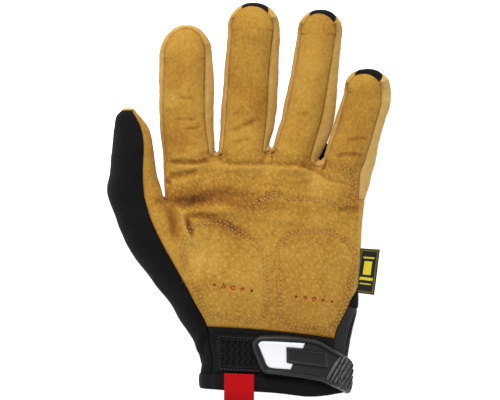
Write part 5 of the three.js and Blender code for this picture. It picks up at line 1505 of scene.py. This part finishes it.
addCloth("back_fabric", "back_panel", back, backLook, blackKnit, bulk)

# Black fabric of the thumb, down to the side of the wrist
thumbSteps = np.linspace(0, 1, 49)
blackW = np.concatenate([wristAt[:-1], palmAt[palmAt <= hand["crotchAt"] + 1e-9], thumbW[1:]])
blackW = blackW[blackW <= tanCapW[0] + 1e-9]
t, w = np.meshgrid(thumbSteps, blackW)
row = thumbRow(w)
blackGrid = thumbPlace(row, mix(seamDegrees(row) + gapDegrees(row), row["under"] - gapDegrees(row), t))
thumbBack = Sheet().addGrid(blackGrid, flip=True).weld()
thumbBack.points = bowed(thumbBack.points)
cuffFolds = [
    fold(0.7, 1.6, 2.6, 0, [(203, 331), (198, 343), (197, 355), (201, 366)], (0.1, 0.2)),
    fold(-0.9, 1.6, 1.6, 0, [(208, 334), (204, 345), (203, 357)], (0.1, 0.2)),
    fold(0.5, 1.4, 2.0, 0, [(186, 300), (194, 318), (202, 330)]),
]
foldHigh, _ = reliefOf(thumbBack.points[:, :2], cuffFolds)
foldHigh *= thumbBack.points[:, 2] > 12
bulk = lumpy(thumbBack.points, (9, 41, 0.4), (4, 42, 0.14))
bulk = bulk * np.where(thumbBack.points[:, 2] < 2, 0.2, 1) + foldHigh
thumbLook = {"wall": 1.3, "calm": 2, "roll": (0.6, 1.4)}
addCloth("thumb_fabric", "thumb_back", thumbBack, thumbLook, blackKnit, bulk)


# Front of the cuff
def cuffPoint(share, at):
    left, right = seamPoint(at), palmRight(at)
    place = mix(left, right, spread(share))
    place[..., 2] += crownAt(share, at)
    return place


cuffAt = np.append(wristAt[:-1], -0.0035)
share, at = np.meshgrid(np.linspace(0, 1, 73), cuffAt)
cuff = Sheet().addGrid(cuffPoint(share, at)).weld()
cuff.points = bowed(cuff.points)
cuffCreases = [
    fold(-0.5, 1.5, 1.5, 0, [(262, 331), (285, 334), (310, 338)]),
    fold(0.5, 1.5, 2.0, 0, [(210, 336), (216, 350), (214, 366)]),
]
foldHigh, _ = reliefOf(cuff.points[:, :2], cuffCreases)
bulk = softNoise(cuff.points, 8, 51) * 0.25 + foldHigh
cuffLook = {"wall": 1.6, "calm": 2, "roll": (0.6, 1.4)}
addCloth("cuff_fabric", "cuff_front", cuff, cuffLook, cuffKnit, bulk)

# Binding round the slit at the little-finger side
slitIds = spanIds(runs["wrist"][0], runs["palmSide"][np.argmin(np.abs(palmAt - hand["slitTop"]))])
binding = Sheet()
binding.addGrid(sideStrip(slitIds, np.linspace(0, 0.36, 9)))
binding.addGrid(sideStrip(slitIds, np.linspace(0.42, 0.78, 9)))
binding.addGrid(sideStrip(slitIds[-5:], np.linspace(0.36, 0.42, 3)))
binding.weld()
bindingLook = {"wall": 2.0, "calm": 1, "roll": (0.7, 1.3)}
bulk = softNoise(binding.points, 4, 55) * 0.1
addCloth("slit_binding", "cuff_side_binding", binding, bindingLook, bindingTape, bulk)


# The side of the wrist at one place, and the wrist unrolled past the slit
def sideStopAt(at):
    place = palmRight(at)
    side = along(littleRows, at, "side") * hand["side"]
    back = together(place[..., 0] + side - hand["backInset"], place[..., 1], hand["backRise"])
    return place, back, side


def sidePlaceAt(at, t):
    place, back, side = sideStopAt(np.atleast_1d(at))
    count = len(place)
    out = np.tile([1.0, 0.0], (count, 1))
    return sidePoint(place, back, out, side, np.ones(count), np.broadcast_to(t, count).astype(float))


def sideLengthAt(at):
    place, back, _ = sideStopAt(np.atleast_1d(at))
    half = sidePlaceAt(at, 0.5)
    return np.linalg.norm(place - half, axis=1) + np.linalg.norm(half - back, axis=1)


def wristPoint(x, y):
    hem = hand["wristFrom"]
    at = np.full(len(x), hem / 2)
    for _ in range(3):
        left, right = seamPoint(at), palmRight(at)
        share = (x - left[:, 0]) / (right[:, 0] - left[:, 0])
        across = np.clip(share, 0, 1)
        top = mix(seamPoint(0.0)[1], palmRight(0.0)[1], across)
        low = mix(seamPoint(hem)[1], palmRight(hem)[1], across)
        at = np.clip(hem * (y - top) / (low - top), hem, 0)
    frontPlace = cuffPoint(np.clip(share, 0, 1), at)
    beside = sidePlaceAt(at, (x - palmRight(at)[:, 0]) / sideLengthAt(at))
    past = share > 1
    return together(np.where(past, beside[:, 0], x), y, np.where(past, beside[:, 2], frontPlace[:, 2]))


def wristRaised(xy, rise):
    x, y = xy[:, 0], xy[:, 1]
    step = 0.8
    across = wristPoint(x + step, y) - wristPoint(x - step, y)
    up = wristPoint(x, y + step) - wristPoint(x, y - step)
    return wristPoint(x, y) + unit(np.cross(across, up)) * np.asarray(rise, float).reshape(-1, 1)


# Hem rolled round the open end
slitStop = runs["wrist"][:1]
loop = [sideStrip(slitStop, [t], trim=False)[0, 0] for t in np.linspace(0.36, 0.02, 8)]
loop += list(cuffPoint(np.linspace(1, 0, 60)[:-1], np.full(59, hand["wristFrom"])))
hemRow = thumbRow(np.full(30, hand["wristFrom"]))
loop += list(thumbPlace(hemRow, mix(seamDegrees(hemRow), hemRow["under"], np.linspace(0, 1, 30))))
loop += list(backGrid[0][2:-2:2])
loop += [sideStrip(slitStop, [t], trim=False)[0, 0] for t in np.linspace(1, 0.42, 12)]
loop = np.array(loop)
for _ in range(2):
    loop[1:-1] = (loop[:-2] + 2 * loop[1:-1] + loop[2:]) / 4
hem = {
    "high": 9.0, "rise": 0.9, "rows": 15, "wall": 2.2, "calm": 2, "roll": (0.5, 1.2), "power": 0.45,
    "tuck": 0.6, "past": 0.9, "droop": 2.2, "droopAt": 37, "droopWide": 16,
}
run = np.gradient(loop[:, [0, 2]], axis=0)
run /= np.linalg.norm(run, axis=1)[:, None]
hemRows = []
for t in np.linspace(0, 1, hem["rows"]):
    swell = math.sin(math.pi * min(max(t * 0.96 + 0.02, 0), 1)) ** hem["power"]
    rise = hem["rise"] * mix(0.1, 1.1, swell) - hem["tuck"] * (1 - ease(t / 0.12))
    drop = hem["high"] + hem["droop"] * bell(loop[:, 0] - hem["droopAt"], hem["droopWide"])
    hemRows.append(together(loop[:, 0] + run[:, 1] * rise, loop[:, 1] - mix(-hem["past"], drop, t),
                            np.maximum(0, loop[:, 2] - run[:, 0] * rise)))
hemSheet = Sheet().addGrid(np.stack(hemRows)).weld()
creases = softNoise(hemSheet.points * [1, 0.25, 1], 4.5, 61) * 0.25
addCloth("hem_roll", "cuff_hem", hemSheet, hem, cuffKnit, creases)
print("cuff made")


# Flat piece of any outline laid on the wrist; its profile gives its height by the distance to its edge
def addInlay(name, node, outline, look, material, values=None, texture=None):
    outline = np.array(outline, float)
    step, rise = look["step"], look["rise"]
    edgePoints = []
    for a, b in zip(outline, np.roll(outline, -1, axis=0)):
        parts = max(1, round(np.linalg.norm(b - a) / (step * 0.6)))
        edgePoints += [mix(a, b, k / parts) for k in range(parts)]
    edgePoints = np.array(edgePoints)
    ringCount = len(edgePoints)
    closed = np.vstack([outline, outline[:1]])
    low, highCorner = outline.min(0), outline.max(0)
    xs, ys = np.arange(low[0], highCorner[0], step), np.arange(low[1], highCorner[1], step)
    spots = np.array([(x + (step / 2) * (j % 2), y) for j, y in enumerate(ys) for x in xs])
    gap, _, _ = pathField(spots, closed)
    spots = spots[insideOf(spots, outline) & (gap > step * 0.45)]
    # A second ring just inside gives the edge its roundness
    tangents = unit(np.roll(edgePoints, -1, axis=0) - np.roll(edgePoints, 1, axis=0))
    inward = np.column_stack([-tangents[:, 1], tangents[:, 0]]) * 0.28
    ring = edgePoints + inward
    if not insideOf(ring[:1], outline)[0]:
        ring = edgePoints - inward
    allSpots = np.vstack([edgePoints, ring, spots])
    ringEdges = [(k, (k + 1) % ringCount) for k in range(ringCount)]
    made = delaunay_2d_cdt([Vector(p) for p in allSpots], ringEdges, [], 1, 1e-5)
    plan = np.array([tuple(p) for p in made[0]])
    triangles = np.array(made[2])
    corners = plan[triangles]
    turn = np.cross(corners[:, 1] - corners[:, 0], corners[:, 2] - corners[:, 0])
    triangles[turn < 0] = triangles[turn < 0][:, ::-1]
    distance, _, _ = pathField(plan, closed)
    lift = look["wall"] * np.interp(distance, *look["profile"])
    if texture is not None:
        lift = lift + texture(plan, distance)
    sheet = Sheet()
    sheet.points = wristRaised(plan, rise + lift)
    sheet.quads = np.column_stack([triangles, triangles[:, 2]])
    values = {key: value(plan, distance) for key, value in (values or {}).items()}
    addClosed(name, node, sheet, sheet.points, wristRaised(plan, rise), material, values)


def insideOf(spots, outline):
    inside = np.zeros(len(spots), bool)
    for (ax, ay), (bx, by) in zip(outline, np.roll(outline, -1, axis=0)):
        crosses = (ay > spots[:, 1]) != (by > spots[:, 1])
        if abs(by - ay) > 1e-9:
            inside ^= crosses & (spots[:, 0] < (bx - ax) * (spots[:, 1] - ay) / (by - ay) + ax)
    return inside


# Zigzag rows of the loop pile inside the frame of the patch: their height, and the shading painted onto them, a
# highlight on the crests of the rows and on the frame lines and shade in the groove inside the outer frame line
def pileWave(plan, gap):
    fold = np.abs((plan[:, 1] / 5.2) % 1 - 0.5) * 2
    row = np.sin(2 * math.pi * (plan[:, 0] / 3.6 + fold * 0.55))
    tuft = softNoise(np.column_stack([plan, plan[:, 0] * 0]), 0.8, 71)
    inside = ease((gap - 3.4) / 0.6)
    frame = bell(gap - 0.75, 0.35) + bell(gap - 2.85, 0.35)
    ink = inside * 0.22 * row + frame * 0.3 - 0.12 * (gap > 1) * (gap < 2.4)
    return inside * (0.34 * row + 0.22 * tuft), ink


# Loop patch with its stitched border
patch = {
    "corners": [(-0.155, -0.429), (0.062, -0.433), (0.062, -0.342), (-0.16, -0.335)],
    "rise": 0.45, "wall": 1.2, "step": 0.42, "threadIn": 2.2, "threadPitch": 2.0, "threadHigh": 0.62,
    "profile": (
        [0, 0.3, 0.9, 1.2, 1.7, 2.3, 2.6, 3.1, 3.6, 9],
        [0.4, 0.9, 1.05, 0.62, 0.62, 0.7, 1.1, 1.1, 0.6, 0.75],
    ),
}
patchOutline = np.array(patch["corners"]) * [hand["width"], hand["length"]]
addInlay(
    "loop_patch_pile", "loop_patch", patchOutline, patch, loopPile,
    {"ink": lambda plan, gap: pileWave(plan, gap)[1]}, lambda plan, gap: pileWave(plan, gap)[0],
)


# Moulded tab between four edges, in unrolled wrist places
tab = {
    "rise": 1.95, "wall": 3.6, "floor": 0.56, "ribs": 7, "ribPitch": 2.14, "ribRise": 1.7, "ribSharp": 2.2,
    "lowEdge": 1.9,
    "ribFrom": fromPixels([(333.6, 357), (325.7, 372.1)]),
    "top": fromPixels([
        (254, 336.2), (258, 333.8), (264, 333.2), (284.5, 333.9), (306.3, 337), (316, 339.4), (323.3, 343.6),
        (335.4, 352.1), (345, 358.6), (348.6, 362.5),
    ]),
    "bottom": fromPixels([
        (261.6, 369.2), (265.5, 371.6), (274.8, 372.7), (289.4, 374.9), (305.1, 377.5), (318.4, 380.6),
        (329.3, 386), (337.5, 390.5), (344.5, 394.5),
    ]),
    "left": fromPixels([
        (261.6, 369.2), (259.2, 365.5), (256, 357), (253.3, 349.5), (251.7, 342.5), (252, 339), (254, 336.2),
    ]),
    "right": fromPixels([
        (344.5, 394.5), (347.5, 389.5), (349.8, 382), (350.4, 374), (349.6, 367), (348.6, 362.5),
    ]),
}


def evenly(path, count):
    path = smoothPath(path, 8)
    length = np.concatenate([[0], np.cumsum(np.linalg.norm(np.diff(path, axis=0), axis=1))])
    at = np.linspace(0, length[-1], count)
    return np.column_stack([np.interp(at, length, path[:, k]) for k in range(path.shape[1])])


tabSize = (171, 71)
top, bottom = evenly(tab["top"], tabSize[0]), evenly(tab["bottom"], tabSize[0])
left, right = evenly(tab["left"], tabSize[1]), evenly(tab["right"], tabSize[1])
u, v = np.meshgrid(np.linspace(0, 1, tabSize[0]), np.linspace(0, 1, tabSize[1]))
tabCorners = [bottom[0], bottom[-1], top[0], top[-1]]
tabPlan = patchPlan(left[:, None], right[:, None], bottom[None], top[None], tabCorners, u, v).reshape(-1, 2)
tabEdge = np.vstack([bottom, right, top[::-1], left[::-1]])
distance, _, _ = pathField(tabPlan, tabEdge[::2])
rimProfile = np.interp(distance, [0, 0.35, 0.8, 1.6, 2.5, 3.1], [0.3, 0.72, 0.95, 1, 0.95, tab["floor"]])
ribLine = tab["ribFrom"][1] - tab["ribFrom"][0]
ribAcross = np.array([-ribLine[1], ribLine[0]]) / np.linalg.norm(ribLine)
ribAcross *= np.sign(ribAcross[0])
ribPlace = (tabPlan - tab["ribFrom"][0]) @ ribAcross
ribWave = np.cos((ribPlace / tab["ribPitch"] - 0.5) * 2 * math.pi)
ribShape = np.clip(ribWave * tab["ribSharp"] + 0.5, -1, 1) * 0.5 + 0.5
lowGap, _, _ = pathField(tabPlan, bottom[::2])
inRibs = ease((ribPlace + 0.2) / 0.5) * ease((tab["ribs"] * tab["ribPitch"] - ribPlace + 0.2) / 0.5)
inRibs = inRibs * ease((lowGap - tab["lowEdge"]) / 0.7)
ribHigh = inRibs * ribShape * tab["ribRise"] * ease((distance - 0.3) / 0.9)
# Painted shade in the grooves between the ribs and at the inner foot of the rim, a painted highlight on the ribs and
# along the top of the rim
tabShading = inRibs * mix(-0.75, 0.12, ribShape) + 0.3 * bell(distance - 1.1, 0.45) * (1 - inRibs)
tabShading -= 0.3 * bell(distance - 2.9, 0.5) * (1 - inRibs)
profile = mix(rimProfile, np.minimum(rimProfile, 0.5), inRibs)
tabTop = wristRaised(tabPlan, tab["rise"] + tab["wall"] * profile + ribHigh)
tabSheet = Sheet().addGrid(tabTop.reshape(tabSize[1], tabSize[0], 3))
tabLow = wristRaised(tabPlan, tab["rise"])
addClosed("tab_rubber", "closure_tab", tabSheet, tabTop, tabLow, tabRubber, {"ink": tabShading})

inlayOutline = fromPixels([
    (257.8, 341.5), (259.5, 338.9), (262, 338), (302.6, 341.3), (300.6, 346.9), (285, 345.2), (285.3, 360.3),
    (291.2, 362.2), (289, 367.6), (273, 366.2), (268.5, 365.3), (265.9, 362.6),
])
inlay = {
    "rise": tab["rise"] + tab["wall"] * tab["floor"] - 0.3, "wall": 1.3, "step": 0.8,
    "profile": ([0, 0.15, 0.5, 9], [0.6, 0.85, 1, 1]),
}
addInlay("tab_inlay_white", "tab_inlay", inlayOutline, inlay, whiteInlay)
plateOutline = fromPixels([(285.1, 345.1), (322.9, 351.5), (324.7, 367), (285.1, 360.6)])
plate = {
    "rise": inlay["rise"] + 0.2, "wall": 1.9, "step": 0.45,
    "profile": ([0, 0.2, 0.5, 1.0, 1.4, 9], [0.6, 0.9, 1, 1, 0.7, 0.7]),
    "ink": ([0, 0.25, 0.5, 0.9, 1.2, 1.6], [-0.9, -0.5, 0.4, 0.4, -0.6, -0.25]),
}
# Painted shade at the plate's edge and at the inner step of its border, a painted highlight on the border's top
plateShading = {"ink": lambda plan, gap: np.interp(gap, *plate["ink"])}
addInlay("tab_plate_bare", "tab_plate", plateOutline, plate, tabRubber, plateShading)

# Strap that carries the tab round to the back
strap = {
    "rise": 1.5, "wall": 1.8, "step": 0.8, "profile": ([0, 0.3, 0.9, 9], [0.5, 0.85, 1, 1]), "half": 9.3,
    "from": 0.472 * hand["width"], "middle": -0.449 * hand["length"], "at": hand["wristFrom"] * 0.9,
    "reach": 0.86,
}
strapEnd = palmRight(strap["at"])[0] + sideLengthAt(strap["at"])[0] * strap["reach"]
strapLow, strapHigh = strap["middle"] - strap["half"], strap["middle"] + strap["half"]
strapOutline = [
    (strap["from"] - 1.2, strapLow), (strapEnd, strapLow), (strapEnd, strapHigh),
    (strap["from"] + 1.0, strapHigh),
]
addInlay("tab_strap", "closure_strap", strapOutline, strap, bindingTape)

# Red webbing folded over itself at its free end
pull = {
    "left": -15.24, "right": 2.76, "top": -105.4, "low": -122.4, "bend": 0.85, "wall": 0.7, "slant": 0.027,
    "rise": 1.55, "droop": 0.05, "roll": (0.2, 0.6),
}
x = np.linspace(pull["left"], pull["right"], 41)
lowest = pull["low"] + pull["bend"]
path = [(y, 2 * pull["bend"]) for y in np.linspace(pull["top"], lowest, 34)]
turns = np.linspace(0, math.pi, 12)[1:-1]
path += [(lowest - pull["bend"] * math.sin(turn), pull["bend"] * (1 + math.cos(turn))) for turn in turns]
path += [(y, 0.0) for y in np.linspace(lowest, pull["top"], 34)]
rows = []
for y, rise in path:
    place = wristPoint(x, np.full(len(x), y))
    free = max(0, palmRight(hand["wristFrom"])[1] - hem["high"] + 3 - y)
    waves = 0.12 * np.sin(x * 0.9 + y * 0.2)
    high = place[:, 2] + pull["rise"] + rise - pull["droop"] * free ** 2 + waves
    rows.append(together(x, y - (x - x.mean()) * pull["slant"], high))
pullSheet = Sheet().addGrid(np.stack(rows), flip=True).weld()
skin = seamRoll(pullSheet.rimDistance(), *pull["roll"])
bulk = softNoise(pullSheet.points, 5, 81) * 0.12
addPanel("pull_webbing", "pull_tab", pullSheet, pull["wall"], redWebbing, bulk, skin)

# Woven label standing out of the side seam
label = {
    "from": 0.235, "to": 0.478, "width": 12.2, "length": 27.4, "wall": 0.8, "drop": 1.5, "rootAt": 0.4,
    "frame": (0.7, 1.7),
    "bars": ((0.2, 0.235, 0.28), (0.3, 0.36, 0.32), (0.42, 0.72, 0.2), (0.78, 0.82, 0.28)),
}
labelSize = (49, 107)
c, r = np.meshgrid(np.linspace(0, 1, labelSize[0]), np.linspace(0, 1, labelSize[1]))
labelAt = mix(label["from"], label["to"], r[:, 0])
root = sidePlaceAt(labelAt, label["rootAt"])
labelCorners = fromPixels([(354.2, 292.8), (375, 295.7), (361, 248.4), (381, 249.7)])
labelEnds = [mix(labelCorners[k], labelCorners[k + 1], spread(c)) for k in (0, 2)]
labelPlan = mix(labelEnds[0], labelEnds[1], spread(r))
labelX, labelY = labelPlan[..., 0], labelPlan[..., 1]
weave = 0.05 * np.sin(labelY * 14) * np.sin(labelX * 14)
labelZ = root[:, 2][:, None] - c * label["drop"] + 0.25 * np.sin(r * 5 + 1) * c


# Frame and plain bars of the label: 0 black, 0.5 olive, 1 yellow
def labelInk(across, up):
    sideGap = np.minimum(across, 1 - across) * label["width"]
    edge = np.minimum(sideGap, np.minimum(up, 1 - up) * label["length"])
    ink = np.where((edge > label["frame"][0]) & (edge < label["frame"][1]), 0.5, 0.0)
    for low, high, wide in label["bars"]:
        ink = np.where((up > low) & (up < high) & (np.abs(across - 0.5) < wide), 1.0, ink)
    return ink


ink = labelInk(c, r)
upper = together(labelX, labelY, labelZ + label["wall"] + weave + 0.1 * (ink > 0)).reshape(-1, 3)
lower = together(labelX, labelY, labelZ).reshape(-1, 3)
sheet = Sheet().addGrid(upper.reshape(labelSize[1], labelSize[0], 3))
labelShader = Shader("label_weave", 0.7, sheen=0.1, specular=0.3)
thread = labelShader.noise(1600.0, 3.0, 0.6)
inkColour = labelShader.ramp(labelShader.reading("ink"), [
    (0.0, (22, 22, 20)), (0.3, (24, 24, 20)), (0.42, (98, 92, 30)), (0.6, (104, 98, 30)),
    (0.85, (222, 202, 34)), (1.0, (230, 210, 40)),
])
labelShader.set("Base Color", labelShader.blend(thread * 0.35, inkColour, tint(10, 10, 9)))
labelShader.bump(thread, 0.5, 0.0002)
inks = {"ink": np.concatenate([ink.ravel(), ink.ravel() * 0])}
addClosed(
    "label_woven_plain", "side_label", sheet, upper, lower, labelShader.material, inks,
)


# Search tree of a face of the front sheet, in plan
def planTree(points):
    tree = KDTree(len(points))
    for k, place in enumerate(points):
        tree.insert((place[0], place[1], 0), k)
    tree.balance()
    return tree


# Readings of the points of the front sheet round a place in plan, the nearest ones counting most
def readAround(tree, xy, near, soft, *readings):
    found = tree.find_n((xy[0], xy[1], 0), near)
    weights = [1 / (gap + soft) for _, _, gap in found]
    return [
        sum(reading[k] * weight for (_, k, _), weight in zip(found, weights)) / sum(weights)
        for reading in readings
    ]


# Orange pads under the vent holes
innerTree = planTree(frontInner)
pad = {"half": 3, "rows": 13, "columns": 69, "below": 0.35, "crown": 0.3, "round": 3.2, "wall": 1.0}
for side in ("thumb_side", "little_side"):
    places = [place for place, _ in ventPlaces(side)]
    start, end = places[0], places[-1]
    run = unit(end - start)
    across = np.array([-run[1], run[0]])
    length = np.linalg.norm(end - start)
    grid = np.zeros((pad["rows"], pad["columns"], 3))
    for r, reach in enumerate(np.linspace(-pad["half"], pad["half"], pad["rows"])):
        for c, s in enumerate(np.linspace(-pad["half"], length + pad["half"], pad["columns"])):
            spot = start + run * s + across * reach
            under, = readAround(innerTree, spot, 5, 0.05, frontInner[:, 2])
            cushion = 0.5 * (1 - (reach / pad["round"]) ** 2)
            grid[r, c] = (*spot, under - pad["below"] + pad["crown"] * cushion)
    sheet = Sheet().addGrid(grid).weld()
    skin = softNoise(sheet.points, 0.8, 91) * 0.05
    piece = addPanel(
        f"vent_foam_{side}", f"vent_pad_{side}", sheet, pad["wall"], orangeFoam, 0.0, skin,
    )
print("vents made")

# Rows of stitches: one small rounded thread for each, with painted shade at its sunk ends and a painted highlight on
# its top
outerTree = planTree(frontOuter)


def stitchLine(path, offset):
    path = smoothPath(path, 8)
    run = unit(np.gradient(path, axis=0))
    path = path + np.column_stack([-run[:, 1], run[:, 0]]) * offset
    count = max(2, round(np.sum(np.linalg.norm(np.diff(path, axis=0), axis=1)) / stitch["pitch"]))
    return evenly(path[::4], count + 1)


def surfaceAt(xy):
    place, facing = readAround(outerTree, xy, 4, 0.1, frontOuter, frontFacing)
    return np.array([xy[0], xy[1], place[2]]), facing / np.linalg.norm(facing)


def addStitches(name, lines, place, material, thick, share):
    points, faces, ink = [], [], []
    for line in lines:
        for a, b in zip(line, line[1:]):
            middle, half = (a + b) / 2, (b - a) / 2 * share
            start, upA = place(middle - half)
            end, upB = place(middle + half)
            along3 = unit(end - start)
            base = len(points)
            for ring in range(stitch["rings"]):
                t = ring / (stitch["rings"] - 1)
                bend = math.sin(math.pi * t)
                out = thick * (bend * stitch["bow"] - stitch["sink"])
                centre = mix(start, end, t) + mix(upA, upB, t) * out
                side = unit(np.cross(along3, mix(upA, upB, t)))
                up = np.cross(side, along3)
                size = thick * (0.55 + 0.45 * bend)
                ink += [mix(stitch["endShade"], stitch["topHighlight"], math.sqrt(abs(bend)))] * stitch["sides"]
                for k in range(stitch["sides"]):
                    turn = 2 * math.pi * k / stitch["sides"]
                    points.append(centre + size * (math.cos(turn) * side + math.sin(turn) * up))
            for ring in range(stitch["rings"] - 1):
                for k in range(stitch["sides"]):
                    n = (k + 1) % stitch["sides"]
                    low, high = base + ring * stitch["sides"], base + (ring + 1) * stitch["sides"]
                    faces.append((low + k, low + n, high + n, high + k))
            faces.append(tuple(base + k for k in range(stitch["sides"]))[::-1])
            last = base + (stitch["rings"] - 1) * stitch["sides"]
            faces.append(tuple(last + k for k in range(stitch["sides"])))
    addObject(name, np.array(points), faces, material, {"ink": np.array(ink)})


lines = [stitchLine(path, way * stitch["spread"]) for path in stitchPaths for way in (-1, 1)]
addStitches(
    "palm_stitching", lines, surfaceAt, tanThread, stitch["thick"], stitch["share"],
)

border = np.vstack([patchOutline, patchOutline[:1]])
centre = patchOutline.mean(0)
borderLines = []
for a, b in zip(border, border[1:]):
    first, last = (corner + unit(centre - corner) * patch["threadIn"] for corner in (a, b))
    count = round(np.linalg.norm(last - first) / patch["threadPitch"])
    borderLines.append(np.array([mix(first, last, k / count) for k in range(count + 1)]))


def patchTop(xy):
    spot = np.array([xy])
    place = wristRaised(spot, patch["rise"] + patch["wall"] * patch["threadHigh"])[0]
    return place, unit(wristRaised(spot, 2.0)[0] - wristRaised(spot, 0.0)[0])


addStitches("patch_stitching", borderLines, patchTop, blackThread, 0.24, 0.78)
print("stitches made")

# Pale floor and soft light from above, a little stronger from the fingers' side
light = {
    "key": {"place": (-0.1, 0.8, 0.9), "size": 0.5, "power": 13.5},
    "fill": {"place": (-0.7, -0.6, 1.0), "size": 1.2, "power": 2.2},
    "world": 0.46, "floor": 0.8, "floorSize": 6.0, "floorTone": 0.96,
}
bpy.ops.mesh.primitive_plane_add(size=light["floorSize"])
floor = bpy.context.object
floor.name = "floor"
floorShader = Shader("pale_floor", 0.9)
floorShader.set("Base Color", (*[light["floorTone"]] * 3, 1))
floorShader.set("Emission Color", (1, 1, 1, 1))
floorShader.set("Emission Strength", light["floor"])
floor.data.materials.append(floorShader.material)

for name in ("key", "fill"):
    lamp = bpy.data.lights.new(name, "AREA")
    lamp.size = light[name]["size"]
    lamp.energy = light[name]["power"]
    lampObject = bpy.data.objects.new(name, lamp)
    lampObject.location = light[name]["place"]
    lampObject.rotation_euler = (-Vector(light[name]["place"])).to_track_quat("-Z", "Y").to_euler()
    bpy.context.scene.collection.objects.link(lampObject)
world = bpy.data.worlds.new("studio")
world.use_nodes = True
sky = world.node_tree.nodes["Background"].inputs
sky["Color"].default_value = (1, 1, 1, 1)
sky["Strength"].default_value = light["world"]
bpy.context.scene.world = world
bpy.context.scene.view_settings.view_transform = "Standard"
print("light set")
